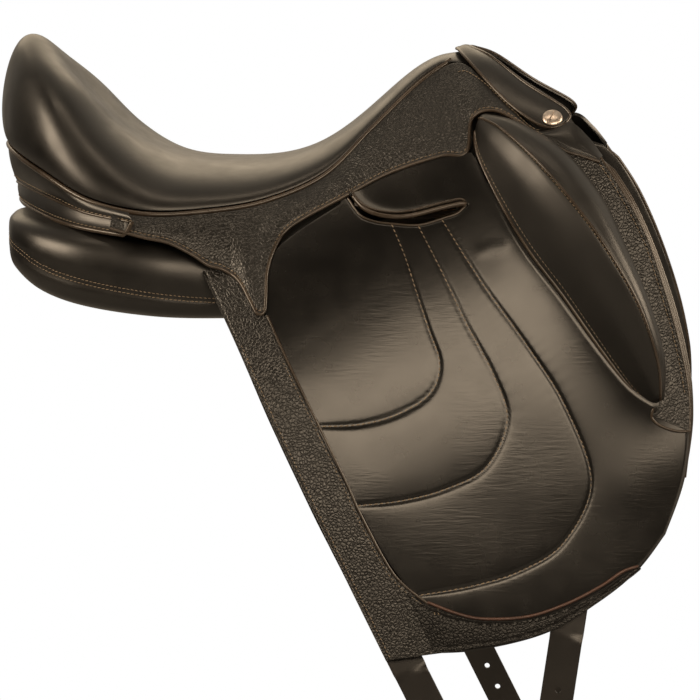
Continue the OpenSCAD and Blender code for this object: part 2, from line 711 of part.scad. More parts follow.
module billet_tail(strap) {
    tip = billet_w / 2;
    color(LEATHER)
        translate(tail_hinge(strap))
            rotate([0, -strap_lean(strap), 0])
                difference() {
                    union() {
                        rotate([0, 90, 0])
                            cylinder(d = billet_t, h = billet_w, center = true);
                        translate([-billet_w / 2, -billet_t / 2, tip - tail_l])
                            cube([billet_w, billet_t, tail_l - tip]);
                        translate([0, billet_t / 2, tip - tail_l])
                            rotate([90, 0, 0])
                                cylinder(r = tip, h = billet_t);
                    }
                    for (k = [0:holes_n - 1])
                        translate([0, billet_t, 16 - tail_l + k * hole_step])
                            rotate([90, 0, 0])
                                cylinder(d = hole_d, h = 2 * billet_t);
                }
}

// The stirrup bars: a plate riveted to the tree's point, a bar that stands off it, and a thumb catch

bar_z = seat_z - 33;
plate_y = -point_y - gap;
bar_plate_t = 4;
bar_y = plate_y - bar_plate_t - bar_gap - bar_t / 2;
bar_front = head_x + head_l + 4;
bar_rear = bar_front - bar_l;
tongue_t = 3;
tongue_l = 7;
catch_l = 19;
catch_axis_x = bar_rear - tongue_l / 2;
bar_rivet_x = [head_x + 8, head_x + head_l - 8];
bar_rivet_z = bar_z + 14;

// A bar of the section's height and thickness, with round upper and lower edges, along x
module round_bar(x, l) {
    slab(x, l)
        translate([bar_y, bar_z]) {
            square([bar_t, bar_h - bar_t], center = true);
            for (side = [-1, 1])
                translate([0, side * (bar_h - bar_t) / 2])
                    circle(d = bar_t);
        }
}

module bar_rivet_shanks(d) {
    for (x = bar_rivet_x)
        translate([x, plate_y + head_t + 2, bar_rivet_z])
            rotate([90, 0, 0])
                cylinder(d = d, h = head_t + bar_plate_t + 6);
}

module stirrup_bar() {
    color(STEEL)
        difference() {
            union() {
                translate([head_x, plate_y - bar_plate_t, bar_z - bar_h / 2])
                    cube([bar_front - head_x, bar_plate_t, bar_h + 20]);
                translate([bar_front - 10, bar_y, bar_z - bar_h / 2])
                    cube([10, plate_y - bar_y, bar_h]);
                round_bar(bar_rear, bar_l);
                translate([bar_rear - tongue_l, bar_y - tongue_t / 2, bar_z - 3])
                    cube([tongue_l + 1, tongue_t, 6]);
            }
            translate([catch_axis_x, bar_y + 10, bar_z])
                rotate([90, 0, 0])
                    cylinder(d = pin_d + 0.1, h = 20);
            bar_rivet_shanks(rivet_d + 0.2);
        }
}

module bar_rivet_pair() {
    color(STEEL)
        for (x = bar_rivet_x)
            translate([x, plate_y - bar_plate_t, bar_rivet_z])
                rotate([-90, 0, 0]) {
                    cylinder(d = rivet_d, h = bar_plate_t + gap + head_t);
                    translate([0, 0, -rivet_head_h])
                        cylinder(d = 1.8 * rivet_d, h = rivet_head_h);
                    translate([0, 0, bar_plate_t + gap + head_t])
                        cylinder(d = 1.8 * rivet_d, h = rivet_head_h);
                }
}

module bar_catch() {
    slot = tongue_t + 0.6;
    color(STEEL)
        difference() {
            union() {
                translate([bar_rear - catch_l, bar_y - bar_t / 2, bar_z - 3])
                    cube([catch_l - tongue_l / 2, bar_t, 6]);
                translate([catch_axis_x, bar_y + bar_t / 2, bar_z])
                    rotate([90, 0, 0])
                        cylinder(r = 3, h = bar_t);
            }
            translate([catch_axis_x - 5.4, bar_y - slot / 2, bar_z - 5])
                cube([10, slot, 10]);
            translate([catch_axis_x, bar_y + 10, bar_z])
                rotate([90, 0, 0])
                    cylinder(d = pin_d + 0.3, h = 20);
        }
}

module catch_pin() {
    translate([catch_axis_x, bar_y + bar_t / 2, bar_z])
        rotate([90, 0, 0])
            cylinder(d = pin_d, h = bar_t);
}

module catch_pins() {
    color(STEEL) {
        catch_pin();
        on_left()
            catch_pin();
    }
}

module bar_rivets() {
    bar_rivet_pair();
    on_left()
        bar_rivet_pair();
}

tree_frame();
tree_head();
head_plate();
gullet_plate();
head_rivets();
spring_steels();
seat_webbing();
seat_foam();
seat_cover();
seat_welt();
cantle_facing();
rear_facing();
pommel_cover();
pommel_studs();
front_facing();
gullet_lining();
bar_lining();  // bar_lining_right
on_left() bar_lining();  // bar_lining_left
skirt();  // skirt_right
on_left() skirt();  // skirt_left
panel();  // panel_right
on_left() panel();  // panel_left
front_panel();  // front_panel_right
on_left() front_panel();  // front_panel_left
stirrup_bar();  // stirrup_bar_right
on_left() stirrup_bar();  // stirrup_bar_left
bar_rivets();
catch_pins();
bar_catch();  // bar_catch_right
on_left() bar_catch();  // bar_catch_left
billet_web(front_strap);  // billet_web_front_right
on_left() billet_web(front_strap);  // billet_web_front_left
billet_web(rear_strap);  // billet_web_rear_right
on_left() billet_web(rear_strap);  // billet_web_rear_left
billet_tail(front_strap);  // billet_front_right
on_left() billet_tail(front_strap);  // billet_front_left
billet_tail(rear_strap);  // billet_rear_right
on_left() billet_tail(rear_strap);  // billet_rear_left
flap();  // flap_right
on_left() flap();  // flap_left
flap_pad();  // flap_pad_right
on_left() flap_pad();  // flap_pad_left
slot_guard();  // slot_guard_right
on_left() slot_guard();  // slot_guard_left
knee_block();  // knee_block_right
on_left() knee_block();  // knee_block_left
knee_strip();  // knee_strip_right
on_left() knee_strip();  // knee_strip_left
rear_strip();  // rear_strip_right
on_left() rear_strip();  // rear_strip_left
bottom_guard();  // bottom_guard_right
on_left() bottom_guard();  // bottom_guard_left
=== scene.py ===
import math

import bpy
import numpy as np
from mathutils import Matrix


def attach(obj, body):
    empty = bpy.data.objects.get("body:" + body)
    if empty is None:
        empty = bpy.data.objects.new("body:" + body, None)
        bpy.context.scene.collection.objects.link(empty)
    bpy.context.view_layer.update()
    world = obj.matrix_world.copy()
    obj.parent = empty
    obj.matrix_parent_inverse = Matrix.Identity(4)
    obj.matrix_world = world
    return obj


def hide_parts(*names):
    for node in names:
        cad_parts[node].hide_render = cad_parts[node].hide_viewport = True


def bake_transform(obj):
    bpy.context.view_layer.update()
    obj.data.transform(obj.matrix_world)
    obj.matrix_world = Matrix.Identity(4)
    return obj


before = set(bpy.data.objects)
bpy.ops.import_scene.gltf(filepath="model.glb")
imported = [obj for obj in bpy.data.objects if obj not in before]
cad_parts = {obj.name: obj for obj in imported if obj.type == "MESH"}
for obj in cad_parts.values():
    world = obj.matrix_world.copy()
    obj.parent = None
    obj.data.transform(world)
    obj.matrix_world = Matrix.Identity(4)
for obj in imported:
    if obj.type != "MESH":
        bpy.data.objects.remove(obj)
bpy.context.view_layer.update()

# The seat: one piece of smooth black leather drawn over foam, sewn into the welt all round.
# It rises to the pommel in front and to a rolled rim at the cantle, whose side bulges over the welt.
pommel_x = 190.0
seat_length = 393.0
half_width = 143.0
seat_height = 139.0
pommel_rise = 89.0
rim_rise = 65.0
dish_rise = 51.0
dish_x = pommel_x - 0.784 * seat_length
spine_shares = [0, 0.07, 0.168, 0.26, 0.37, 0.483, 0.598, 0.672, 0.725, 0.761, 0.784]
rim_shares = [0, 0, 0, 0, 0, 0, 0.05, 0.31, 0.68, 0.89, 1]
welt_places = [
    (0, 0.27, 0.98 * pommel_rise), (0.07, 0.43, 0.75 * pommel_rise), (0.163, 0.59, 0.34 * pommel_rise),
    (0.26, 0.73, -8), (0.38, 0.85, -29), (0.5, 0.94, -37), (0.63, 1, -39), (0.755, 0.95, -29),
    (0.86, 0.76, -9), (0.945, 0.44, 7), (0.985, 0, 14)]
welt_line = [(pommel_x - seat_length * s, -half_width * w, seat_height + rise) for s, w, rise in welt_places]


def curve(points, t):
    """A smooth line through the points, read at t from 0 to 1."""
    points = np.array(points, float)
    t = np.asarray(t, float)
    last = len(points) - 1
    i = np.clip(np.floor(t * last).astype(int), 0, last - 1)
    f = t * last - i
    if points.ndim > 1:
        f = f[..., None]
    a, b = points[np.maximum(i - 1, 0)], points[i]
    c, d = points[i + 1], points[np.minimum(i + 2, last)]
    return (2 * b + (c - a) * f + (2 * a - 5 * b + 4 * c - d) * f ** 2 + (3 * b - 3 * c + d - a) * f ** 3) / 2


def half_curve(points, t):
    """The same for a line that ends on the saddle's middle plane and crosses it squarely."""
    before = points[-2]
    beyond = before if np.isscalar(before) else (before[0], -before[1], before[2])
    last = len(points) - 1
    return curve(list(points) + [beyond], np.asarray(t, float) * last / (last + 1))


def welt(t):
    return half_curve(welt_line, t)


def seat_point(t, v):
    """The seat's leather at t along the welt and v from the middle line out to the welt."""
    x = pommel_x - seat_length * half_curve(spine_shares, t)
    rise = np.where(x > 0, pommel_rise * (1 - np.cos(np.pi * np.clip(x / pommel_x, 0, 1) ** 1.5)) / 2,
                    dish_rise * np.clip(x / dish_x, 0, None) ** 2.6)
    z = seat_height + rise
    edge = welt(t)
    rim = half_curve(rim_shares, t)
    out = edge[..., 0] - x
    turn, last_turn = np.pi / 2 * v * (1 + 0.3 * rim * v ** 2), np.pi / 2 * (1 + 0.3 * rim)
    share = np.sin(turn) ** 0.8 * (1 + (np.sin(last_turn) ** -0.8 - 1) * v ** 2)
    lift = z + (edge[..., 2] - z) * (1 - np.abs(np.cos(np.pi / 2 * v)) ** 1.2)
    crest = rim * rim_rise * np.sin(np.pi * v) ** np.where(v < 0.5, 1.1, 1.4)
    return np.stack([x + out * share, edge[..., 1] * share, lift + crest], -1)


def own_name(name):
    """The name of a leather piece, which differs from that of a solid."""
    return name + "_leather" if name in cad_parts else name


def lay(name, surface, along, across):
    """A grid of that many faces, laid on surface(u, v), which is in millimetres."""
    bpy.ops.object.select_all(action="DESELECT")
    bpy.ops.mesh.primitive_grid_add(x_subdivisions=along, y_subdivisions=across, size=1)
    piece = bpy.context.object
    piece.name = piece.data.name = own_name(name)
    place = np.empty(3 * len(piece.data.vertices))
    piece.data.vertices.foreach_get("co", place)
    u, v = np.clip(place.reshape(-1, 3)[:, :2].T + 0.5, 0, 1)
    piece.data.vertices.foreach_set("co", (surface(u, v) * 0.001).ravel())
    piece.data.update()
    return piece


def take(piece):
    """Makes the piece the only one selected, as the operators need."""
    bpy.ops.object.select_all(action="DESELECT")
    piece.select_set(True)
    bpy.context.view_layer.objects.active = piece


def close_up(piece, near=0.02):
    """Merges what meets within that many millimetres and turns all faces outwards."""
    take(piece)
    bpy.ops.object.mode_set(mode="EDIT")
    bpy.ops.mesh.select_all(action="SELECT")
    bpy.ops.mesh.remove_doubles(threshold=near * 0.001)
    bpy.ops.mesh.normals_make_consistent(inside=False)
    bpy.ops.object.mode_set(mode="OBJECT")


def face(piece, way):
    """Turns an open sheet over if it looks away from that direction."""
    normals = np.empty(3 * len(piece.data.polygons))
    areas = np.empty(len(piece.data.polygons))
    piece.data.polygons.foreach_get("normal", normals)
    piece.data.polygons.foreach_get("area", areas)
    if (normals.reshape(-1, 3) * areas[:, None]).sum(0) @ np.array(way, float) < 0:
        piece.data.flip_normals()


def modify(piece, kind, **settings):
    """Adds a modifier with those settings and applies it."""
    take(piece)
    modifier = piece.modifiers.new(kind.title(), kind)
    for setting, value in settings.items():
        setattr(modifier, setting, value)
    bpy.ops.object.modifier_apply(modifier=modifier.name)


def mirror_across(piece):
    """Joins a right-hand piece to its mirror image on the left."""
    modify(piece, "MIRROR", use_axis=(False, True, False), merge_threshold=0.0003)


def thicken(piece, thickness, rim=0.0):
    """Gives a sheet its thickness, inwards, and rounds its rim."""
    modify(piece, "SOLIDIFY", thickness=thickness * 0.001, offset=-1)
    if rim:
        modify(piece, "BEVEL", width=rim * 0.001, segments=2, limit_method="ANGLE", angle_limit=0.9)


def smooth(piece, angle=50):
    take(piece)
    bpy.ops.object.shade_smooth_by_angle(angle=math.radians(angle))


def new_material(name):
    """A material with its shader, its node and link lists and its Object coordinates."""
    material = bpy.data.materials.new(name)
    material.use_nodes = True
    nodes, links = material.node_tree.nodes, material.node_tree.links
    return material, nodes, links, nodes["Principled BSDF"], nodes.new("ShaderNodeTexCoord").outputs["Object"]


def noise(nodes, links, where, scale, detail, distortion=0.0):
    texture = nodes.new("ShaderNodeTexNoise")
    texture.inputs["Scale"].default_value = scale
    texture.inputs["Detail"].default_value = detail
    texture.inputs["Distortion"].default_value = distortion
    links.new(where, texture.inputs["Vector"])
    return texture.outputs["Fac"]


def ramp(nodes, links, factor, *stops):
    """A colour ramp: each stop is its place and its grey or its colour."""
    colours = nodes.new("ShaderNodeValToRGB")
    while len(colours.color_ramp.elements) < len(stops):
        colours.color_ramp.elements.new(0.5)
    for element, (place, tone) in zip(colours.color_ramp.elements, stops):
        element.position = place
        element.color = (tone, tone, tone, 1) if np.isscalar(tone) else (*tone, 1)
    links.new(factor, colours.inputs["Fac"])
    return colours.outputs["Color"]


def bump(nodes, links, height, depth, under=None):
    """Relief of that depth in millimetres, on top of the relief under it."""
    relief = nodes.new("ShaderNodeBump")
    relief.inputs["Strength"].default_value = 1.0
    relief.inputs["Distance"].default_value = depth * 0.001
    links.new(height, relief.inputs["Height"])
    if under:
        links.new(under, relief.inputs["Normal"])
    return relief.outputs["Normal"]


def cells(nodes, links, where, size):
    """Grain: how far it is to the edges of cells of that many millimetres."""
    texture = nodes.new("ShaderNodeTexVoronoi")
    texture.feature = "DISTANCE_TO_EDGE"
    texture.inputs["Scale"].default_value = 1000 / size
    links.new(where, texture.inputs["Vector"])
    return texture.outputs["Distance"]


def smooth_leather(name, dark, light, creases=0.06, gloss=(0.32, 0.42), waves=0.35):
    """Dressed calf: fine pores, patches of faint creases, slow waves and a waxed sheen that wear varies."""
    material, nodes, links, shader, where = new_material(name)
    cloud = noise(nodes, links, where, 22, 4)
    links.new(ramp(nodes, links, cloud, (0.3, dark), (0.75, light)), shader.inputs["Base Color"])
    wear = noise(nodes, links, where, 45, 2)
    links.new(ramp(nodes, links, wear, (0.3, gloss[0]), (0.7, gloss[1])), shader.inputs["Roughness"])
    pores = ramp(nodes, links, cells(nodes, links, where, 0.9), (0.0, 0.0), (0.22, 1.0))
    relief = bump(nodes, links, pores, 0.004)
    stretch = nodes.new("ShaderNodeMapping")
    stretch.inputs["Rotation"].default_value = (0.3, 0.6, 0.2)
    stretch.inputs["Scale"].default_value = (0.5, 0.5, 4)
    links.new(where, stretch.inputs["Vector"])
    folds = nodes.new("ShaderNodeMath")
    folds.operation = "MULTIPLY"
    links.new(noise(nodes, links, stretch.outputs["Vector"], 110, 1, 0.8), folds.inputs[0])
    links.new(ramp(nodes, links, noise(nodes, links, where, 16, 0), (0.42, 0.0), (0.62, 1.0)), folds.inputs[1])
    relief = bump(nodes, links, folds.outputs["Value"], creases, relief)
    relief = bump(nodes, links, noise(nodes, links, where, 18, 0), waves, relief)
    links.new(relief, shader.inputs["Normal"])
    shader.inputs["Specular IOR Level"].default_value = 0.5
    shader.inputs["Coat Weight"].default_value = 0.1
    shader.inputs["Coat Roughness"].default_value = 0.22
    return material


black_calf = (0.0028, 0.0026, 0.0024), (0.0068, 0.0062, 0.0056)
seat_leather = smooth_leather("seat_leather", *black_calf, 0.04)


def dress(piece, material, body, *nodes, slot="smooth_leather"):
    """Puts the material on, lets the piece ride on its body, and hides the solids that it stands for."""
    piece.data.materials.clear()
    piece.data.materials.append(material)
    if body:
        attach(piece, body)
    if nodes:
        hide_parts(*nodes)


# In front the leather runs on under the pommel's band
tongue = [(198, 0, 229.5), (201, -20, 228), (209, -41, 220)]


def seat_surface(u, v):
    reach = curve(tongue, v) - seat_point(0 * u, 0.985 * v)
    return seat_point(u, 0.985 * v) + reach * (np.clip(1 - u / 0.05, 0, 1) ** 2)[..., None]


def even_out(piece, middle, reach, rounds):
    """Evens out the surface round a point, less and less towards that many millimetres away."""
    group = piece.vertex_groups.new(name="even_out")
    for vertex in piece.data.vertices:
        far = math.dist(vertex.co * 1000, middle)
        if far < reach:
            group.add([vertex.index], math.cos(math.pi / 2 * far / reach), "REPLACE")
    modify(piece, "SMOOTH", factor=0.5, iterations=rounds, vertex_group="even_out")
    piece.vertex_groups.clear()


seat = lay("seat", seat_surface, 170, 76)
face(seat, (0, 0, 1))
mirror_across(seat)
close_up(seat)
face(seat, (0, 0, 1))
even_out(seat, (dish_x, 0, seat_height + dish_rise), 70, 60)
thicken(seat, 5, 0.8)
smooth(seat)
dress(seat, seat_leather, "saddle", "seat_cover", "seat_foam")

# The welt: a round leather piping sewn in under the edge of the seat, from one side of the pommel
# round the cantle to the other.
welt_radius = 2.2
# The cords' leather is coloured lighter and browner than the black calf: a painted highlight along every piping, lip,
# twist and bead.
piping_painted_highlight = smooth_leather("piping_painted_highlight", (0.02, 0.0145, 0.01), (0.05, 0.036, 0.025), 0.01, (0.22, 0.3))


def cord(name, path, radius, sides=4):
    """A round cord along a path in millimetres, closed at its ends."""
    line = bpy.data.curves.new(name, "CURVE")
    line.dimensions = "3D"
    line.bevel_depth = radius * 0.001
    line.bevel_resolution = sides
    line.use_fill_caps = True
    spline = line.splines.new("POLY")
    spline.points.add(len(path) - 1)
    spline.points.foreach_set("co", np.c_[np.asarray(path) * 0.001, np.ones(len(path))].ravel())
    piece = bpy.data.objects.new(name, line)
    bpy.context.collection.objects.link(piece)
    take(piece)
    bpy.ops.object.convert(target="MESH")
    piece = bpy.context.object
    piece.name = piece.data.name = own_name(name)
    close_up(piece)
    smooth(piece)
    return piece


def to_left(path):
    """A right-hand path continued by its mirror image."""
    return np.concatenate([path, path[-2::-1] * (1, -1, 1)])


seat_welt = cord("seat_welt", to_left(welt(np.linspace(0.004, 1, 160)) - (0, 0, welt_radius + 0.7)), welt_radius)
dress(seat_welt, piping_painted_highlight, "saddle", "seat_welt")

# The cantle's facing: a band of smooth leather under the welt, turned in and sewn along its lower
# edge, and the narrower facing of the panels below it.
facing_low = [(-68, -148.5, 91), (-108, -136, 97), (-136, -112, 105), (-163, -75, 112), (-182, -38, 116),
              (-190, 0, 116)]
rear_low = [(-73, -150, 80), (-108, -140, 84), (-137, -118, 89), (-162, -82, 95), (-180, -44, 100),
            (-188, 0, 102)]


def band_point(top, low, u, v, swell, sink, tip=0.0):
    """A band between two lines: it swells in the middle and laps over the skirt; a tip rounds its lower corner."""
    share = v * (np.sqrt(np.clip(1 - (1 - np.clip(u / tip, 0, 1)) ** 2, 0.02, 1)) if tip else 1)
    out = low - (-90, 0, 0)
    out[..., 2] = 0
    out /= np.linalg.norm(out, axis=-1)[..., None]
    lap = 10 * np.clip(1 - u / 0.22, 0, 1) ** 2
    return top + (low - top) * share[..., None] + out * (2.2 * np.sin(np.pi * v) ** swell - sink + lap)[..., None]


def facing_point(u, v):
    return band_point(welt(0.63 + 0.37 * u) - (0, 0, 2.5), half_curve(facing_low, u), u, v, 0.7, 0)


def rear_facing_point(u, v):
    return band_point(half_curve(facing_low, u) + (0, 0, 2), half_curve(rear_low, u), u, v, 0.6, 1.6, tip=0.03)


for name, surface, node in (("cantle_band", facing_point, "cantle_facing"),
                            ("rear_band", rear_facing_point, "rear_facing")):
    band = lay(name, surface, 110, 14)
    face(band, (-0.5, -1, 0))
    mirror_across(band)
    thicken(band, 2.4, 0.7)
    smooth(band)
    dress(band, seat_leather, "saddle", node)

thread, nodes, links, shader, where = new_material("brown_thread")
tint = noise(nodes, links, where, 240, 2)
links.new(ramp(nodes, links, tint, (0.3, (0.12, 0.09, 0.06)), (0.7, (0.24, 0.185, 0.125))),
          shader.inputs["Base Color"])
links.new(bump(nodes, links, noise(nodes, links, where, 3000, 2), 0.08), shader.inputs["Normal"])
shader.inputs["Roughness"].default_value = 0.6

bpy.ops.object.select_all(action="DESELECT")
bpy.ops.mesh.primitive_uv_sphere_add(segments=6, ring_count=5, radius=1)
one_stitch = bpy.context.object
stitch_corners = np.array([tuple(vertex.co) for vertex in one_stitch.data.vertices])
stitch_faces = [tuple(polygon.vertices) for polygon in one_stitch.data.polygons]
bpy.data.objects.remove(one_stitch)


def sew(name, rows, body, length=3.4, pitch=4.4, thick=0.9, lift=0.1):
    """Rows of stitches as one piece: each row is its points in millimetres and the leather's way out there."""
    corners, faces = [], []
    for path, out in rows:
        path, out = np.asarray(path, float), np.asarray(out, float) + np.zeros_like(path)
        run = np.concatenate([[0], np.cumsum(np.linalg.norm(np.diff(path, axis=0), axis=1))])
        stops = np.arange(pitch / 2, run[-1], pitch)

        def at(places, values):
            return np.stack([np.interp(places, run, values[:, k]) for k in range(3)], -1)

        middle = at(stops, path) + lift * at(stops, out)
        way = at(stops + 0.4 * length, path) - at(stops - 0.4 * length, path)
        way /= np.linalg.norm(way, axis=1)[:, None]
        up = at(stops, out)
        side = np.cross(up, way)
        side /= np.linalg.norm(side, axis=1)[:, None]
        up = np.cross(way, side)
        slant = way + 0.12 * side
        for m, w, s, n in zip(middle, slant, side, up):
            first = len(corners) * len(stitch_corners)
            corners.append(m + stitch_corners[:, 2:3] * w * length / 2 + stitch_corners[:, 0:1] * s * thick / 2
                           + stitch_corners[:, 1:2] * n * thick / 2)
            faces += [tuple(first + k for k in f) for f in stitch_faces]
    mesh = bpy.data.meshes.new(name)
    mesh.from_pydata(np.concatenate(corners) * 0.001, [], faces)
    piece = bpy.data.objects.new(name, mesh)
    bpy.context.collection.objects.link(piece)
    close_up(piece, 0.001)
    smooth(piece, 80)
    dress(piece, thread, body)


def row(surface, u, v):
    """A row of stitches on a surface, with the way out that looks away from the saddle's middle."""
    u, v = np.broadcast_arrays(np.asarray(u, float), np.asarray(v, float))
    step = 0.004
    path = surface(u, v)
    out = np.cross(surface(u, np.minimum(v + step, 1)) - surface(u, np.maximum(v - step, 0)),
                   surface(np.minimum(u + step, 1), v) - surface(np.maximum(u - step, 0), v))
    out /= np.linalg.norm(out, axis=1)[:, None]
    if (out * (path - (20, 0, 60))).sum() < 0:
        out = -out
    return path, out


def both(rows):
    """Right-hand rows and their mirror images."""
    return rows + [(path * (1, -1, 1), out * (1, -1, 1)) for path, out in rows]


full = np.linspace(0, 1, 200)
sew("cantle_stitches", both([row(facing_point, full, 0.84), row(rear_facing_point, full, 0.8)]), "saddle")
for name, surface, radius in (("cantle_piping", facing_point, 1.3), ("rear_piping", rear_facing_point, 1.9)):
    piping = cord(name, to_left(surface(full, np.ones(200))), radius)
    dress(piping, piping_painted_highlight, "saddle")

# The panels: smooth leather cushions stuffed with wool flock, one on each side of the gullet. A double
# row of stitches runs along the gusset.
panel_x = [-184, -176, -150, -110, -50, 10, 70, 130, 185, 230, 258]
panel_inner = [26, 12, 4, 1, 0, 0, 1, 4, 10, 16, 22]
panel_outer = [84, 108, 134, 150, 155, 145, 147, 146, 139, 131, 124]
panel_bottom = [62, 45, 25, 12, 4, 3, 6, 15, 36, 64, 92]
panel_top = [88, 88, 84, 77, 69, 63, 66, 72, 78, 102, 122]
gusset = [0.002, 0.0, -0.006, -0.017, -0.026, -0.03, -0.03]


def panel_point(u, v):
    """The panel's leather at u along it and v once round it, starting at its outer side."""
    t = np.clip((u - 0.03) / 0.94, 0, 1)
    end = np.sqrt(np.clip(1 - (1 - np.clip(np.minimum(u, 1 - u) / 0.03, 0, 1)) ** 2, 0, 1))
    y0, y1 = 36 + curve(panel_inner, t), curve(panel_outer, t)
    z0, z1 = curve(panel_bottom, t), curve(panel_top, t)
    c, s = np.cos(2 * np.pi * v), np.sin(2 * np.pi * v)
    y = (y1 - y0) / 2 * end * np.sign(c) * np.abs(c) ** 0.6
    z = (z1 - z0) / 2 * end * np.sign(s) * np.abs(s) ** 0.6
    fuller = curve([0, 0, 2, 6, 9, 6, 3, 0, 0, 0, 0], t) * np.clip(s, 0, 1) ** 0.5 * end
    y, z = (y0 + y1) / 2 + y, (z0 + z1) / 2 + z + 0.2 * ((y1 - y0) / 2 - y) + fuller
    apart = np.abs((v - curve(gusset, t) + 0.5) % 1 - 0.5)
    return np.stack([curve(panel_x, t) + 0 * y, -y + 1.1 * np.exp(-(apart / 0.012) ** 2) * end, z], -1)


def left_copy(piece, name):
    """A mirror image of a finished right-hand piece, with its own mesh."""
    copy = piece.copy()
    copy.data = piece.data.copy()
    copy.name = copy.data.name = own_name(name)
    bpy.context.collection.objects.link(copy)
    place = np.empty(3 * len(copy.data.vertices))
    copy.data.vertices.foreach_get("co", place)
    copy.data.vertices.foreach_set("co", (place.reshape(-1, 3) * (1, -1, 1)).ravel())
    copy.data.flip_normals()
    copy.data.update()
    return copy


def dress_both(piece, name, material, body, node=None, slot="smooth_leather"):
    """Dresses a right-hand piece and its mirror image, each for the flap and the solid of its own side."""
    pair = (piece, "_right"), (left_copy(piece, name + "_left"), "_left")
    for one, side in pair:
        dress(one, material, "flap" + side if body == "flap" else body, *([node + side] if node else []), slot=slot)
    return pair


panel = lay("panel_right", panel_point, 160, 150)
close_up(panel, 0.05)
smooth(panel, 70)
panel_leather = smooth_leather("panel_leather", *black_calf)
dress_both(panel, "panel", panel_leather, "saddle", "panel", "panel_leather")
along_panel = np.linspace(0.04, 0.62, 300)
gusset_line = curve(gusset, np.clip((along_panel - 0.03) / 0.94, 0, 1))


def gusset_row(off):
    """A row of stitches that many millimetres above the gusset's seam."""
    tries = np.linspace(-0.05, 0.05, 81)
    v = []
    for u, seam in zip(along_panel, gusset_line):
        path = panel_point(np.full(81, u), (seam + tries) % 1)
        run = np.concatenate([[0], np.cumsum(np.linalg.norm(np.diff(path, axis=0), axis=1))])
        v.append(seam + np.interp(run[40] + off, run, tries))
    return row(lambda u, v: panel_point(u, v % 1), along_panel, np.array(v))


sew("panel_stitches", both([gusset_row(1.7), gusset_row(-1.7)]), "saddle", length=2.8, pitch=3.6, thick=0.8)

# The flap: one sheet of leather that hangs from under the skirt and flares over the horse's side.
# Places on it are a, forwards along its top line, r, down the flap, and d, out of the leather.
slope = math.radians(33)
flap_x, flap_y, flap_z = 40.0, -140.0, 72.0
flap_turn = 0.25
flap_spread = 75.0
spread_run = 110.0
flap_thickness = 4.0


def flap_way_out(r):
    rate = flap_spread / spread_run * np.exp(-np.maximum(r, 0) / spread_run)
    out = np.stack([flap_turn * math.cos(slope) - rate * math.sin(slope), -1 + 0 * rate,
                    flap_turn * math.sin(slope) + rate * math.cos(slope)], -1)
    return out / np.linalg.norm(out, axis=-1)[..., None]


def flap_point(a, r, d=0.0):
    a, r, d = np.broadcast_arrays(np.asarray(a, float), np.asarray(r, float), np.asarray(d, float))
    flare = np.where(r > 0, flap_spread * (1 - np.exp(-np.maximum(r, 0) / spread_run)), flap_spread / spread_run * r)
    x = flap_x + a * math.cos(slope) + r * math.sin(slope)
    z = flap_z + a * math.sin(slope) - r * math.cos(slope)
    return np.stack([x, flap_y + flap_turn * a - flare, z], -1) + d[..., None] * flap_way_out(r)


def patch(top, bottom, rear, front):
    """A smooth patch of places between four outlines that meet at their ends: u forwards, v down."""
    def place(u, v):
        t, b, l, f = curve(top, u), curve(bottom, u), curve(rear, v), curve(front, v)
        u, v = u[..., None], v[..., None]
        corners = [np.array(p, float) for p in (top[0], top[-1], bottom[0], bottom[-1])]
        return (t + (b - t) * v + l + (f - l) * u
                - ((corners[0] * (1 - u) + corners[1] * u) * (1 - v) + (corners[2] * (1 - u) + corners[3] * u) * v))
    return place


flap_top = [(-52, 6), (-38, 12), (-31, 23), (-30.5, 47), (-22, 48), (-10, 30.5), (0, 18), (11, 6), (22, -2), (48, -4),
            (73, -2), (80, 20), (93, 38), (113, 53), (143, 66), (157, 66), (163, 58), (168, 26), (184, 35), (207, 13),
            (233, 47), (251, 69), (273, 92)]
flap_bottom = [(-88, 338), (-63, 348), (-24, 371), (30, 391), (80, 394), (120, 390), (154, 378)]
flap_front = [(273, 92), (273, 140), (263, 198), (246, 256), (222, 308), (192, 348), (154, 378)]
flap_rear = [(-52, 6), (-64, 113), (-76, 226), (-88, 338)]
flap_outline = patch(flap_top, flap_bottom, flap_rear, flap_front)


def flap_surface(u, v):
    place = flap_outline(u, v)
    return flap_point(place[..., 0], place[..., 1], 0)


def bend_under_skirt(piece):
    """The piece's top end lies under the skirt; this bakes its placing into its mesh and works out, without using,
    the line about which the flap lifts.
    """
    along = np.array((math.cos(slope), flap_turn, math.sin(slope))) / math.hypot(1, flap_turn)
    start, end = flap_point(0, -4), flap_point(0, 12)
    end = end - (end - start) @ along * along
    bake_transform(piece)


flap = lay("flap_right", flap_surface, 150, 90)
face(flap, (0, -1, 0))
thicken(flap, flap_thickness, 1.1)
smooth(flap)
flap_leather = smooth_leather("flap_leather", *black_calf)
for piece, side in dress_both(flap, "flap", flap_leather, None, "flap"):
    bend_under_skirt(piece)

# The thigh pad: smooth leather over thin foam, sewn down to the flap along three curved channels
# that run from the stirrup slot back to the rear edge. Its leather puckers beside the stitches.
pad_height = 6.2
channel_height = 2.3
channel_pitch = 4.6
channels = [
    [(99, 44), (95, 72), (88, 102), (81, 132), (74, 160), (55, 176), (25, 176), (-6, 166), (-38, 147)],
    [(117, 57), (114, 100), (109, 145), (106, 190), (96, 228), (62, 251), (25, 248), (-10, 236), (-43, 219)],
    [(136, 63), (137, 125), (141, 185), (141, 245), (126, 308), (82, 337), (40, 337), (0, 325), (-38, 308)]]
slot_low = [(78.5, 7), (80.5, 24), (88.5, 35), (98, 43), (113.5, 54.5), (124, 59.5), (139, 63.5), (149, 66),
            (159, 64.5)]
slot_lip = [(83, 7), (85.5, 20), (92.5, 31), (105, 41.5), (119, 48.5), (140, 55.5), (156, 61.5), (159, 64.5)]
pad_by_skirt = [(-27, 47), (-17, 33), (-4, 16), (4, 10.5), (12, 7.8), (24, 6.4), (44, 5.9), (70, 6.3)]
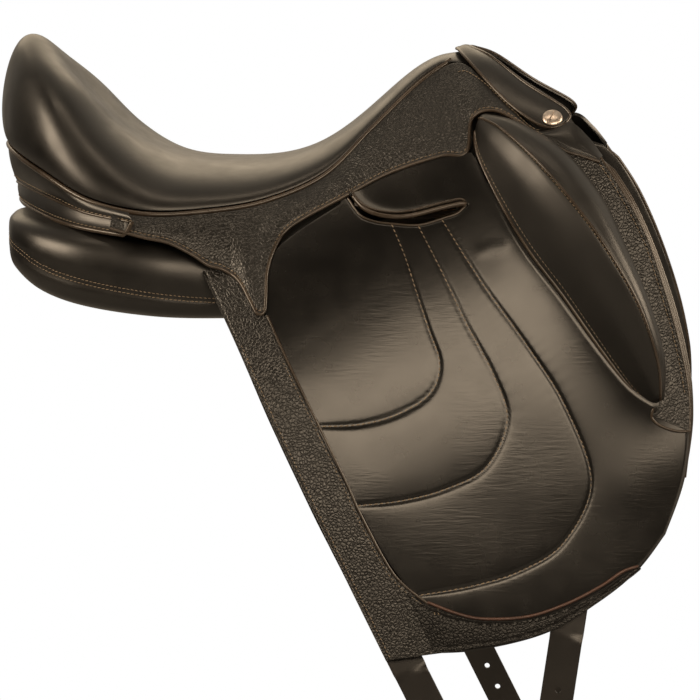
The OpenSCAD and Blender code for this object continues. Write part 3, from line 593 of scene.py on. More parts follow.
pad_top = pad_by_skirt + slot_low + [(168, 63), (182, 60), (205, 62), (235, 90), (258, 101)]
pad_front = [(258, 101), (262, 140), (255, 198), (239, 256), (219, 308), (190, 347), (154, 377)]
pad_bottom = [(-42, 316), (-24, 342), (10, 368), (45, 382), (80, 388), (120, 388), (154, 377)]
pad_rear = [(-27, 47), (-31, 90), (-38, 146), (-44, 222), (-46, 270), (-42, 316)]
pad_outline = patch(pad_top, pad_bottom, pad_rear, pad_front)
pad_edges = (pad_front, pad_bottom, pad_rear, pad_by_skirt, slot_low)
block_rear = [(196, 16), (185, 38), (179, 85), (178, 125), (182, 170), (185, 220), (190, 261), (199, 284)]
fold = [(150, 103), (158, 105), (166, 109)]


def gather(t, share=0.8):
    """Crowds the grid's lines towards both ends."""
    return t - share * np.sin(2 * np.pi * t) / (2 * np.pi)


def to_line(place, points, n=90):
    """How far places are from a line of points, how far along it the nearest point is, and on which side."""
    line = curve(points, np.linspace(0, 1, n))
    start, step = line[:-1], np.diff(line, axis=0)
    length = np.linalg.norm(step, axis=1)
    run = np.concatenate([[0], np.cumsum(length)])
    best, along, side = np.full(len(place), 1e9), np.zeros(len(place)), np.zeros(len(place))
    for i in range(len(step)):
        away = place - start[i]
        f = np.clip((away @ step[i]) / length[i] ** 2, 0, 1)
        far = np.linalg.norm(away - f[:, None] * step[i], axis=1)
        near = far < best
        best[near] = far[near]
        along[near] = run[i] + f[near] * length[i]
        side[near] = (away[:, 0] * step[i, 1] - away[:, 1] * step[i, 0])[near]
    return best, along, np.sign(side)


def lower_of(a, b, soft=1.2):
    """The lower of two heights, with a rounded change from one to the other."""
    return np.minimum(a, b) - np.clip(soft - np.abs(a - b), 0, None) ** 2 / (4 * soft)


def pad_rise(place, edges):
    """The smooth leather's height over the flap at places on it; it is turned down at those edges."""
    lower = np.clip((place[:, 1] - 90) / 120, 0, 1)
    rise = np.full(len(place), pad_height)
    for line in channels:
        far, along, side = to_line(place, line)
        pucker = 0.06 * np.sin(2 * np.pi * along / channel_pitch) * np.exp(-far / 2.4) * np.minimum(far / 1.2, 1)
        crease = 0.06 * np.sin(2 * np.pi * along / 8 + 3 * np.sin(along / 17))
        crease *= np.exp(-far / 9) * np.minimum(far / 4, 1) * np.clip(1 - np.abs(along - 130) / 90, 0, 1)
        outer = (0.5 + 0.7 * lower) * (1 - np.exp(-far / 4))
        inner = (0.6 + 2.0 * lower) * (1 - np.exp(-far / 28))
        crown = np.where(side > 0, outer, inner)
        rise = lower_of(rise, channel_height + 0.7 * (1 - np.exp(-(far / 1.7) ** 2)) + crown) + pucker + crease
    for line, soft in ((pad_front, 45), (pad_bottom, 22), (pad_rear, 42), (slot_low, 16)):
        far, _, _ = to_line(place, line)
        rise = lower_of(rise, 3.0 + 3.2 * (1 - np.exp(-far / soft)))
    # A fold below the slot, the swelling up to the block and the one under the block's foot
    far, _, _ = to_line(place, fold)
    rise += 0.3 * np.exp(-(far / 5.5) ** 2)
    far, _, _ = to_line(place, block_rear)
    rise += 3.5 * np.exp(-far / 14)
    rise += 3 * np.exp(-((place[:, 0] - 195) / 55) ** 2 - ((place[:, 1] - 335) / 35) ** 2)
    rim = np.ones(len(place))
    for line in edges:
        far, _, _ = to_line(place, line)
        rim = np.minimum(rim, np.sqrt(np.clip(1 - (1 - np.clip(far / 2.4, 0, 1)) ** 2, 0, 1)))
    return 0.3 + rise * rim


def pad_place(u, v):
    return pad_outline(gather(u, 0.3), gather(v, 0.2))


def pad_surface(u, v):
    place = pad_place(u, v)
    return flap_point(place[:, 0], place[:, 1], pad_rise(place, pad_edges))


def pad_under(u, v):
    place = pad_place(u, v)
    inside = (u > 1e-6) & (u < 1 - 1e-6) & (v > 1e-6) & (v < 1 - 1e-6)
    top = pad_rise(place, pad_edges)
    return flap_point(place[:, 0], place[:, 1], np.where(inside, 0.3, top))


def cushion(name, top, under, along, across):
    """A closed pad from its top and its underside, which meet along their edges."""
    piece, base = lay(name, top, along, across), lay(name + "_under", under, along, across)
    take(base)
    piece.select_set(True)
    bpy.context.view_layer.objects.active = piece
    bpy.ops.object.join()
    close_up(piece, 0.01)
    smooth(piece, 60)
    return piece


pad = cushion("thigh_pad_right", pad_surface, pad_under, 260, 260)
pad_leather = smooth_leather("pad_leather", (0.0022, 0.0021, 0.002), (0.0056, 0.0052, 0.0047), 0.08,
                             (0.24, 0.28), 0.5)
dress_both(pad, "thigh_pad", pad_leather, "flap", "flap_pad")


def flap_row(points, d, n=300):
    """A row of stitches along places on the flap, at a height d or at the height that d works out."""
    place = curve(points, np.linspace(0, 1, n))
    return flap_point(place[:, 0], place[:, 1], d(place) if callable(d) else d), flap_way_out(place[:, 1])


def sew_flaps(name, rows, **how):
    sew(name + "_right", rows, "flap_right", **how)
    sew(name + "_left", [(path * (1, -1, 1), out * (1, -1, 1)) for path, out in rows], "flap_left", **how)


sew_flaps("channel_stitches", [flap_row(line, channel_height + 0.45) for line in channels],
          length=3.3, pitch=channel_pitch, thick=0.95)

# The slot guard: the leather over the stirrup slot. It runs on into the pad in front of the slot, and
# its lower edge is a rolled lip with a twisted welt above it.
guard_outline = patch([(80, 4), (105, 6.5), (130, 10), (152, 16), (170, 25), (184, 32)],
                      slot_lip + [(168, 63), (182, 60)],
                      [(80, 4), (81.5, 5.5), (83, 7)], [(184, 32), (184, 46), (182, 60)])


def guard_surface(u, v):
    place = guard_outline(u, v)
    lip, _, _ = to_line(place, slot_lip)
    curl = 1.4 * np.exp(-(lip / 5) ** 2) * np.clip((160 - place[:, 0]) / 20, 0, 1)
    return flap_point(place[:, 0], place[:, 1], pad_rise(place, ()) + curl)


guard = lay("slot_guard_right", guard_surface, 90, 40)
face(guard, (0, -1, 0))
thicken(guard, 2.2)
smooth(guard)
dress_both(guard, "slot_guard", pad_leather, "flap", "slot_guard")


def flap_cord(name, points, d, radius, material):
    """A cord along places on the flap, on both flaps."""
    piece = cord(name + "_right", flap_row(points, d, 160)[0], radius)
    dress_both(piece, name, material, "flap")


flap_cord("slot_lip", slot_lip, 3.4, 2.1, piping_painted_highlight)
flap_cord("slot_rim", slot_low, 2.2, 1.0, piping_painted_highlight)
twist = np.linspace(0, 1, 500)
wound = curve(slot_lip, twist)
twist_turns = 34
for strand in (0, 1):
    turn = 2 * np.pi * twist_turns * twist + np.pi * strand
    sway = 0.8 * np.cos(turn)
    path = flap_point(wound[:, 0] + sway, wound[:, 1] - 3.6 + sway, 5.3 + 0.6 * np.sin(turn))
    piece = cord("slot_twist_%d_right" % strand, path, 0.7, 2)
    dress_both(piece, "slot_twist_%d" % strand, piping_painted_highlight, "flap")

# The grained strips along the flap's edges: pebbled leather, turned under at the rim and sewn down
# with a row of stitches beside each edge.
strip_height = 3.1
strip_thickness = 2.5


def grained_leather(name, dark, light, shine=0.5):
    """Pebbled hide: small rounded grains, with painted shade in the valleys between them and a painted highlight on
    their tops.
    """
    material, nodes, links, shader, where = new_material(name)
    bend = nodes.new("ShaderNodeVectorMath")
    bend.operation = "MULTIPLY_ADD"
    wave = nodes.new("ShaderNodeTexNoise")
    wave.inputs["Scale"].default_value = 260
    links.new(where, wave.inputs["Vector"])
    links.new(wave.outputs["Color"], bend.inputs[0])
    bend.inputs[1].default_value = (0.0006, 0.0006, 0.0006)
    links.new(where, bend.inputs[2])
    grain = cells(nodes, links, bend.outputs["Vector"], 2.8)
    pebble = ramp(nodes, links, grain, (0.0, 0.0), (0.1, 0.55), (0.32, 1.0))
    # Painted shade and highlight: the base colour is dark where the grains meet and lighter on their tops.
    links.new(ramp(nodes, links, grain, (0.0, dark), (0.25, light)), shader.inputs["Base Color"])
    wear = noise(nodes, links, where, 60, 4)
    links.new(ramp(nodes, links, wear, (0.3, 0.28), (0.7, 0.36)), shader.inputs["Roughness"])
    relief = bump(nodes, links, pebble, 0.22)
    relief = bump(nodes, links, noise(nodes, links, where, 700, 1), 0.02, relief)
    links.new(relief, shader.inputs["Normal"])
    shader.inputs["Specular IOR Level"].default_value = shine
    return material


grain_leather = grained_leather("grain_leather", (0.0018, 0.0017, 0.0016), (0.008, 0.0074, 0.0067))
# A darker, duller copy of the grained leather for the bottom guard: painted shade along the flap's lower edge.
guard_painted_shade = grained_leather("guard_painted_shade", (0.0012, 0.0011, 0.001), (0.0045, 0.0041, 0.0037), 0.26)


def between(inner, outer):
    """Places across a strip, u from its inner edge to its outer edge, v along it."""
    def place(u, v):
        return curve(inner, v) + (curve(outer, v) - curve(inner, v)) * u[..., None]
    return place


tail_arc = [(-54, -7), (-46, -5), (-40, 0), (-33, 15), (-30.5, 34), (-29.5, 47), (-25, 52)]
rear_strip_front = [(-25, 52), (-29, 90), (-34, 146), (-39, 196), (-43, 225), (-46.5, 268), (-45, 291), (-36, 318),
                    (-30, 366)]
rear_strip_rear = [(-54, -7), (-58, 60), (-66, 130), (-74, 205), (-81, 275), (-88, 337)]
rear_strip_low = [(-88, 337), (-72, 345), (-50, 356), (-30, 366)]
guard_in = [(-46, 300), (-36, 316), (-21, 337), (-5, 353), (25, 371), (57, 380), (87, 383.5), (108, 383.5),
            (121, 387)]
guard_out = [(-52, 352), (-38, 361), (-18, 371), (4, 381), (30, 390), (58, 393), (87, 393), (108, 391), (122, 389)]
knee_strip_in = [(246, 69), (248, 123), (243, 160), (234, 206), (222, 251), (205, 286), (195, 290)]
knee_strip_out = [(272, 92), (272.5, 123), (269.5, 165), (260.5, 203), (246, 252), (231, 290), (214, 318)]


def on_flap(place):
    return np.full(len(place), strip_height)


def on_pad(place):
    return pad_rise(place, ()) + 0.9


def on_rim(place):
    return np.maximum(strip_height, pad_rise(place, (pad_bottom, pad_rear)) + 0.4)


rear_strip = patch(tail_arc, rear_strip_low, rear_strip_rear, rear_strip_front)
for name, outline, across, along, height, leather in (
        ("rear_strip", rear_strip, 40, 150, on_flap, grain_leather),
        ("bottom_guard", between(guard_in, guard_out), 30, 130, on_rim, guard_painted_shade),
        ("knee_strip", between(knee_strip_in, knee_strip_out), 30, 110, on_pad, grain_leather)):
    def strip_surface(u, v):
        place = outline(gather(u, 0.7), v)
        width = np.linalg.norm(outline(0 * u + 1, v) - outline(0 * u, v), axis=1)
        edge = np.minimum(gather(u, 0.7), 1 - gather(u, 0.7)) * width
        return flap_point(place[:, 0], place[:, 1], height(place) - 0.5 * np.exp(-((edge - 3.4) / 1.1) ** 2))

    strip = lay(name + "_right", strip_surface, across, along)
    face(strip, (0, -1, 0))
    thicken(strip, strip_thickness, 1.1)
    smooth(strip)
    bends = outline is rear_strip
    for piece, side in dress_both(strip, name, leather, None if bends else "flap", name, "grained_leather"):
        if bends:
            bend_under_skirt(piece)
sew_flaps("strip_stitches", [
    flap_row([(a - 3.5, r) for a, r in rear_strip_front[1:8]], 2.8),
    flap_row([(a + 3.5, r) for a, r in rear_strip_rear[1:]], 2.8),
    flap_row([(-34, 322), (-37, 332), (-36, 346), (-28, 364)], 3.2),
    flap_row([(-31, 324), (-34, 332), (-33, 345), (-25, 363)], 3.2),
    flap_row([(a - 3.4, r) for a, r in knee_strip_out[:6]], on_pad)], length=2.8, pitch=3.8, thick=0.8)
red_piping = smooth_leather("red_piping", (0.035, 0.014, 0.009), (0.075, 0.03, 0.018), 0.01, (0.3, 0.42))
flap_cord("guard_piping", guard_in[1:], lambda place: on_rim(place) + 0.2, 1.2, red_piping)
flap_cord("strip_piping", rear_strip_front[:8], 3.2, 1.1, piping_painted_highlight)
flap_cord("knee_strip_piping", [(a + 0.4, r) for a, r in knee_strip_out], lambda place: on_pad(place) - 0.6, 1.0,
          piping_painted_highlight)
flap_cord("knee_strip_foot", [(214, 318), (205, 312), (197, 302), (194, 292), (199, 286)], on_pad, 1.1,
          piping_painted_highlight)

# The knee block: a tall foam wedge in smooth leather, piped along its foot and along the seam on its
# ridge, with a row of stitches beside each piping.
block_height = 50.0
block_d = 0.6
ridge_v = 0.6
block_front = [(208, 8), (232, 34), (251, 73), (257, 120), (251, 165), (242, 212), (229, 256), (211, 286)]
block_rise = [0.16, 0.45, 0.76, 0.92, 1, 0.96, 0.72, 0.24]
block_ridge = [0.57, 0.58, 0.59, 0.62, 0.68, 0.72, 0.68, 0.6]
rear_face = [(0, 0), (0.03, 0.07), (0.2, 0.3), (0.55, 0.74), (0.85, 0.95), (1, 1)]
front_face = [(0, 1), (0.2, 0.985), (0.5, 0.88), (0.8, 0.58), (0.96, 0.16), (1, 0)]


def block_place(u, v):
    """Places across the block: v runs up its rear face to the ridge, and on down its front face."""
    back, front, ridge = curve(block_rear, u), curve(block_front, u), curve(block_ridge, u)
    up = curve(rear_face, np.clip(v / ridge_v, 0, 1))
    down = curve(front_face, np.clip((v - ridge_v) / (1 - ridge_v), 0, 1))
    share = np.where(v < ridge_v, up[:, 0] * ridge, ridge + (1 - ridge) * down[:, 0])
    height = np.where(v < ridge_v, up[:, 1], down[:, 1])
    return back + (front - back) * share[:, None], np.clip(height, 0, None)


def block_surface(u, v):
    place, height = block_place(u, v)
    end = np.sqrt(np.clip(1 - (1 - np.clip(np.minimum(u, 1 - u) / 0.05, 0, 1)) ** 2, 0, 1))
    seam = 0.9 * np.exp(-((v - 0.575) / 0.012) ** 2)
    rise = block_height * curve(block_rise, u) * height - seam * np.sign(height)
    return flap_point(place[:, 0], place[:, 1], block_d + rise * end)


def block_under(u, v):
    place, _ = block_place(u, v)
    return flap_point(place[:, 0], place[:, 1], block_d)


block = cushion("knee_block_right", block_surface, block_under, 130, 110)
block_leather = smooth_leather("block_leather", *black_calf, 0.05, (0.4, 0.48), 0.3)
dress_both(block, "knee_block", block_leather, "flap", "knee_block")


def block_line(v, lift):
    """A line along the block, with the way out of its leather."""
    path, out = row(block_surface, np.linspace(0.02, 0.98, 200), np.full(200, v))
    return path + lift * out, out


for name, v, radius in (("block_ridge_piping", ridge_v, 1.1), ("block_foot_piping", 0.175, 1.5),
                        ("block_front_piping", 0.97, 1.2)):
    dress_both(cord(name + "_right", block_line(v, 0.2)[0], radius), name, piping_painted_highlight, "flap")
sew_flaps("block_stitches", [block_line(0.565, 0.05), block_line(0.215, 0.05)], length=2.8, pitch=3.8, thick=0.8)

# The skirt: pebbled leather that hangs from under the welt over the top of the flap, with a tail
# behind and a tab in front. Its edge is turned under and sewn.
skirt_edge = [
    (-86, 86, 0.655), (-58, 78.5, 0.6), (-38, 74.5, 0.56), (-18, 65, 0.52), (-4, 56, 0.49), (8, 52.5, 0.475),
    (22, 43.5, 0.455), (33, 27, 0.44), (39, 18, 0.425), (44.5, 19.5, 0.415), (45.3, 31, 0.41), (45, 50, 0.4),
    (49, 67, 0.385), (58, 83, 0.37), (75, 95, 0.34), (105, 111, 0.27), (143, 131, 0.18), (185, 145, 0.1),
    (207, 148, -0.05), (211, 176, -0.15), (231, 182, -0.33), (259, 168, -0.51), (287, 151, -0.7), (302, 146, -0.865),
    (318, 141, -1)]
skirt_front = [(179.5, -48.5, 214.5), (197, -44, 221), (218, -62, 209), (244, -86, 184), (266, -100, 167),
               (292, -98, 173), (308, -101, 161), (320, -107, 146)]
skirt_thickness = 3.4
stitch_inset = 3.6


def over_flap(x, z):
    """How far out the flap's face is over a place in the side view."""
    a = (x - flap_x) * math.cos(slope) + (z - flap_z) * math.sin(slope)
    r = (x - flap_x) * math.sin(slope) - (z - flap_z) * math.cos(slope)
    return flap_point(a, r)[..., 1]


def skirt_point(u, v):
    """The skirt's leather at u forwards along its lower edge and v from the welt down to that edge."""
    edge = curve(skirt_edge, u)
    x, z, t = edge[..., 0], edge[..., 1], edge[..., 2]
    under_welt = welt(np.clip(t, 0.04, 1)) - (0, 0, 4.5)
    top = np.where((t > 0.04)[..., None], under_welt, curve(skirt_front, np.clip((0.04 - t) / 1.04, 0, 1)))
    y = over_flap(x, z) - 1
    tail = np.clip((7 / 24 - u) / 0.05, 0, 1)
    y = y + (np.minimum(-153, y) - y) * tail
    low = np.stack([x, y, z], -1)
    way = low - top
    point = top + way * v[..., None]
    edge_way = (1 - v) * np.linalg.norm(way, axis=-1)
    dip = 0.5 * np.exp(-((edge_way - stitch_inset) / 1.2) ** 2)
    point[..., 1] += -3 * np.sin(np.pi * v) - skirt_thickness - 0.8 * v ** 4 + dip
    return point


tab_share = 0.895
for name, start, end, lift, along, material, node, slot in (
        ("skirt", 0, tab_share, 0, 300, grain_leather, "skirt", "grained_leather"),
        ("skirt_tab", tab_share - 0.01, 1, 0.5, 60, seat_leather, None, "smooth_leather")):
    def skirt_surface(u, v):
        return skirt_point(start + (end - start) * u, 1 - (1 - v) ** 1.6) - (0, lift, 0)

    skirt = lay(name + "_right", skirt_surface, along, 44)
    face(skirt, (0, -1, 0))
    thicken(skirt, skirt_thickness, 1.2)
    smooth(skirt)
    dress_both(skirt, name, material, "saddle", node, slot)
u = np.linspace(0.02, 0.985, 500)
long = np.linalg.norm(skirt_point(u, np.ones(500)) - skirt_point(u, np.zeros(500)), axis=1)
beside_edge = row(skirt_point, u, np.clip(1 - stitch_inset / long, 0.05, 1))
beside_band = row(skirt_point, np.linspace(0.765, 0.885, 120), np.full(120, 0.13))
sew("skirt_stitches", both([beside_edge, beside_band]), "saddle", length=2.8, pitch=3.8, thick=0.8)
edge_path = skirt_point(np.linspace(0, 1, 400), np.ones(400)) + (0, 0.4, 0)
dress_both(cord("skirt_piping_right", edge_path, 1.4), "skirt_piping", piping_painted_highlight, "saddle")

# The pommel: a band of smooth leather over the head from stud to stud, piped along both edges, and
# the facing round the front arch.
cover_front = [(294, -97, 177), (287, -90, 186), (256, -72, 204), (225, -44, 226), (208, -18, 233), (204, 0, 234)]
cover_rear = [(284, -106, 169), (267, -104, 171), (241, -90, 188), (214, -64, 214), (196, -28, 231), (192, 0, 232)]
arch_out = [(297, -99, 156), (289, -95, 167), (279, -88, 181.5), (252, -70, 200.5), (222, -42, 221.5),
            (205, -17, 228.5), (201, 0, 229.5)]
arch_in = [(294, -79, 142), (284, -74, 152), (268, -66, 165), (242, -48, 184), (220, -26, 197), (208, -10, 203),
           (206, 0, 204)]


def raised(surface, u, v, d):
    """The point of a surface moved out by d along its normal, away from the saddle's middle."""
    path, out = row(surface, u, v)
    return path + out * np.asarray(d)[..., None]


def cover_flat(u, v):
    rear, front = half_curve(cover_rear, u), half_curve(cover_front, u)
    narrow = np.sqrt(np.clip(1 - (1 - np.clip(u / 0.1, 0, 1)) ** 2, 0.0025, 1))
    return rear + (front - rear) * (0.5 + (v - 0.5) * narrow)[..., None]


def cover_point(u, v):
    return raised(cover_flat, u, v, -0.8 + 2.5 * np.sin(np.pi * v) ** 0.8)


def arch_point(u, v):
    out, inner = half_curve(arch_out, u), half_curve(arch_in, u)
    return out + (inner - out) * v[..., None]


for name, surface, node, across, way in (("pommel_band", cover_point, "pommel_cover", 30, (0.5, -0.4, 0.8)),
                                         ("arch_facing", arch_point, "front_facing", 20, (1, -0.5, -0.2))):
    band = lay(name, surface, 100, across)
    face(band, way)
    mirror_across(band)
    thicken(band, 2.4, 0.8)
    smooth(band)
    dress(band, seat_leather, "saddle", node)
half = np.linspace(0, 1, 120)
for name, v in (("pommel_piping_rear", 0.02), ("pommel_piping_front", 0.98)):
    piping = cord(name, to_left(cover_point(half, np.full(120, v))), 1.3)
    dress(piping, piping_painted_highlight, "saddle")

# The studs: domed nickel discs with a plain slot, one at each end of the pommel's band, which they
# hold down to the tree's head.
stud_radius = 8.5
stud_flatness = 0.32
nickel, nodes, links, shader, where = new_material("nickel")
tint = noise(nodes, links, where, 400, 3)
links.new(ramp(nodes, links, tint, (0.3, (0.5, 0.43, 0.38)), (0.7, (0.66, 0.58, 0.52))), shader.inputs["Base Color"])
wear = noise(nodes, links, where, 900, 4)
links.new(ramp(nodes, links, wear, (0.3, 0.26), (0.7, 0.42)), shader.inputs["Roughness"])
shader.inputs["Metallic"].default_value = 1.0
bpy.ops.object.select_all(action="DESELECT")
path, out = row(cover_flat, [0.17], [0.4])
bpy.ops.mesh.primitive_uv_sphere_add(segments=48, ring_count=24, radius=stud_radius * 0.001)
stud = bpy.context.object
stud.name = stud.data.name = "stud_right"
bpy.ops.object.mode_set(mode="EDIT")
bpy.ops.mesh.select_all(action="SELECT")
bpy.ops.mesh.bisect(plane_co=(0, 0, 0), plane_no=(0, 0, 1), use_fill=True, clear_inner=True)
bpy.ops.mesh.select_all(action="SELECT")
bpy.ops.transform.resize(value=(1, 1, stud_flatness), center_override=(0, 0, 0))
bpy.ops.mesh.normals_make_consistent(inside=False)
bpy.ops.object.mode_set(mode="OBJECT")
bpy.ops.mesh.primitive_cube_add(size=1, location=(0, 0, 0.0028))
slot_cutter = bpy.context.object
slot_cutter.scale = (0.03, 0.002, 0.003)
take(slot_cutter)
bpy.ops.object.transform_apply(location=False, rotation=False, scale=True)
modify(stud, "BOOLEAN", object=slot_cutter, operation="DIFFERENCE")
bpy.data.objects.remove(slot_cutter)
modify(stud, "BEVEL", width=0.0003, segments=2, limit_method="ANGLE", angle_limit=0.7)
turn = np.array(out[0])
side = np.cross((0.3, 0, 1.0), turn)
side /= np.linalg.norm(side)
third = np.cross(turn, side)
place = np.empty(3 * len(stud.data.vertices))
stud.data.vertices.foreach_get("co", place)
place = place.reshape(-1, 3) @ np.stack([third, side, turn]) + (path[0] + 1.6 * turn) * 0.001
stud.data.vertices.foreach_set("co", place.ravel())
stud.data.update()
smooth(stud, 40)
for piece in (stud, left_copy(stud, "stud_left")):
    dress(piece, nickel, "saddle", "pommel_studs", slot="nickel")

# The front panel: a thin stuffed panel of smooth leather under the flap. Its edge and the flap's are
# beaded, and show one beside the other beyond the knee strip.
front_panel_d = -9.7
front_panel = patch([(176, 18), (205, 0), (232, 34), (256, 66), (273, 88)],
                    [(178, 330), (184, 336), (190, 340), (199, 342)],
                    [(176, 18), (172, 98), (165, 150), (150, 200), (140, 250), (150, 296), (178, 330)],
                    [(273, 86), (278, 107), (277, 143), (267, 201), (250, 259), (226, 307), (199, 342)])


def front_panel_top(u, v):
    place = front_panel(gather(u, 0.7), v)
    return flap_point(place[:, 0], place[:, 1], front_panel_d)


def front_panel_under(u, v):
    place = front_panel(gather(u, 0.7), v)
    deep = np.sin(np.pi * gather(u, 0.7)) ** 0.6 * np.sqrt(np.clip(np.minimum(v, 1 - v) / 0.03, 0, 1))
    stuffing = 4 + 7 * np.clip((place[:, 1] - 70) / 60, 0, 1)
    return flap_point(place[:, 0], place[:, 1], front_panel_d - deep * stuffing)


piece = cushion("front_panel_right", front_panel_top, front_panel_under, 60, 90)
dress_both(piece, "front_panel", panel_leather, "saddle", "front_panel", "panel_leather")


def beside(points, off):
    """A line of places that far outside the flap's front edge, which meets the edge at its lower end."""
    t = np.linspace(0, 1, 160)
    place, way = curve(points, t), curve(points, np.clip(t + 0.005, 0, 1)) - curve(points, np.clip(t - 0.005, 0, 1))
    out = np.stack([way[:, 1], -way[:, 0]], -1) / np.linalg.norm(way, axis=1)[:, None]
    return place + out * (off * np.clip(np.minimum((1 - t) / 0.3, (t + 0.01) / 0.08), 0, 1))[:, None]


flap_edge = flap_front[:6]
for name, off, d, radius, body in (("flap_bead", 0.4, -1.6, 1.4, "flap"),
                                   ("panel_bead_inner", 2.2, -5.6, 1.7, "saddle"),
                                   ("panel_bead_outer", 4.4, -8.8, 1.8, "saddle")):
    place = beside(flap_edge, off)
    bead = cord(name + "_right", flap_point(place[:, 0], place[:, 1], d), radius)
    dress_both(bead, name, piping_painted_highlight, body)

# The billets: straps of bridle leather with brown cut edges, riveted up under the flap. Their tails
# hang below it, each with a row of punched holes, and bend where the flap ends.
billet_width = 27.0
billet_thickness = 4.0
tail_length = 148.0
hole_radius = 2.5
hole_step = 22.0
last_hole = 16.0
strap_d = -9.2 + billet_thickness / 2
billet_leather = smooth_leather("billet_leather", (0.0045, 0.0038, 0.0033), (0.011, 0.0088, 0.0072),
                                gloss=(0.34, 0.5))
for name, top, hinge in (("front", (199, 226), (43, 404)), ("rear", (-37, 6), (-76, 358))):
    top, hinge = np.array(top, float), np.array(hinge, float)
    pivot = flap_point(*hinge, strap_d)
    ends = flap_point(*top), flap_point(*hinge)
    lean = (ends[1] - ends[0]) * (1, 0, 1)
    lean /= np.linalg.norm(lean)
    aside = np.array((-lean[2], 0, lean[0]))
    web = np.linalg.norm(hinge - top)
    flat = np.array((hinge - top)[::-1] * (1, -1)) / web

    def strap_surface(u, v):
        far = (web + tail_length) * v
        tip = np.clip((web + tail_length - far) / (billet_width / 2), 0, 1)
        across = (u - 0.5) * billet_width * np.sqrt(np.clip(1 - (1 - tip) ** 2, 0.0004, 1))
        place = top + (hinge - top) * np.clip(far / web, 0, 1)[:, None] + flat * across[:, None]
        up = flap_point(place[:, 0], place[:, 1], strap_d + billet_thickness / 2)
        down = pivot + lean * (far - web)[:, None] + aside * across[:, None] - (0, billet_thickness / 2, 0)
        share = np.clip((far - web) / 6 + 0.5, 0, 1)[:, None]
        return up * (1 - share) + down * share

    strap = lay("billet_" + name + "_right", strap_surface, 18, 240)
    face(strap, (0, -1, 0))
    thicken(strap, billet_thickness, 0.7)
    for k in range(5):
        spot = (pivot + lean * (tail_length - last_hole - hole_step * k)) * 0.001
        bpy.ops.object.select_all(action="DESELECT")
        bpy.ops.mesh.primitive_cylinder_add(vertices=24, radius=hole_radius * 0.001, depth=0.02, location=spot,
                                            rotation=(math.pi / 2, 0, 0))
        punch = bpy.context.object
        modify(strap, "BOOLEAN", object=punch, operation="DIFFERENCE")
        bpy.data.objects.remove(punch)
    smooth(strap, 35)
    start, end = (pivot - lean * 8) * 0.001, (pivot + lean * 8) * 0.001
    other = left_copy(strap, "billet_" + name + "_left")
    for piece, side, flip in ((strap, name + "_right", (1, 1, 1)), (other, name + "_left", (1, -1, 1))):
        dress(piece, billet_leather, None, "billet_" + side, "billet_web_" + side, slot="billet_leather")
        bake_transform(piece)

# The metal under the skirt: forged steel stirrup bars with their thumb catches and pins, riveted to the
# tree, and the tree's own plates, rivets and spring steels.
steel, nodes, links, shader, where = new_material("forged_steel")
scale = noise(nodes, links, where, 160, 5)
links.new(ramp(nodes, links, scale, (0.3, (0.26, 0.25, 0.24)), (0.7, (0.46, 0.44, 0.42))),
          shader.inputs["Base Color"])
links.new(ramp(nodes, links, noise(nodes, links, where, 500, 4), (0.3, 0.3), (0.7, 0.5)), shader.inputs["Roughness"])
links.new(bump(nodes, links, noise(nodes, links, where, 1400, 3), 0.05), shader.inputs["Normal"])
shader.inputs["Metallic"].default_value = 1.0


def paint(material, *nodes):
    """Puts the material on solids that show as they are."""
    for node in nodes:
        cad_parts[node].data.materials.clear()
        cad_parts[node].data.materials.append(material)


paint(steel, "stirrup_bar_right", "stirrup_bar_left", "bar_rivets", "bar_catch_right", "bar_catch_left", "catch_pins",
      "head_plate", "gullet_plate", "head_rivets", "spring_steels")

# The tree inside: laminated beech, with canvas webbing stretched over it, and leather linings in the
# gullet and behind the stirrup bars. They show only from below and through the front arch.
beech, nodes, links, shader, where = new_material("beech_laminate")
ply = nodes.new("ShaderNodeTexWave")
ply.inputs["Scale"].default_value = 90
ply.inputs["Distortion"].default_value = 3
ply.bands_direction = "Z"
links.new(where, ply.inputs["Vector"])
links.new(ramp(nodes, links, ply.outputs["Fac"], (0.2, (0.36, 0.22, 0.11)), (0.8, (0.52, 0.35, 0.19))),
          shader.inputs["Base Color"])
links.new(ramp(nodes, links, noise(nodes, links, where, 200, 4), (0.3, 0.4), (0.7, 0.6)), shader.inputs["Roughness"])
paint(beech, "tree_frame", "tree_head")
canvas, nodes, links, shader, where = new_material("canvas_web")
weave = nodes.new("ShaderNodeTexWave")
weave.inputs["Scale"].default_value = 700
links.new(where, weave.inputs["Vector"])
links.new(ramp(nodes, links, weave.outputs["Fac"], (0.2, (0.16, 0.14, 0.1)), (0.8, (0.26, 0.23, 0.16))),
          shader.inputs["Base Color"])
links.new(bump(nodes, links, weave.outputs["Fac"], 0.2), shader.inputs["Normal"])
shader.inputs["Roughness"].default_value = 0.9
paint(canvas, "seat_webbing")
paint(panel_leather, "gullet_lining", "bar_lining_right", "bar_lining_left")

# The studio: a floor under the saddle, warm softboxes behind, above, in front and at both sides, and the
# camera on the saddle's right, a little above the seat. Floor and background are white to the camera
# alone, because black leather would mirror a white room as grey; on the floor the saddle's shadow is a
# painted shadow, darkened by ambient occlusion rather than cast by the lamps.
floor_z = -0.45
warm = (1.0, 0.8, 0.58)


def white_to_camera(tree, other, white, output):
    """Shows the camera the white shader, and all other rays the other one."""
    seen, mix = tree.nodes.new("ShaderNodeLightPath"), tree.nodes.new("ShaderNodeMixShader")
    tree.links.new(seen.outputs["Is Camera Ray"], mix.inputs["Fac"])
    tree.links.new(other, mix.inputs[1])
    tree.links.new(white, mix.inputs[2])
    tree.links.new(mix.outputs["Shader"], tree.nodes[output].inputs["Surface"])


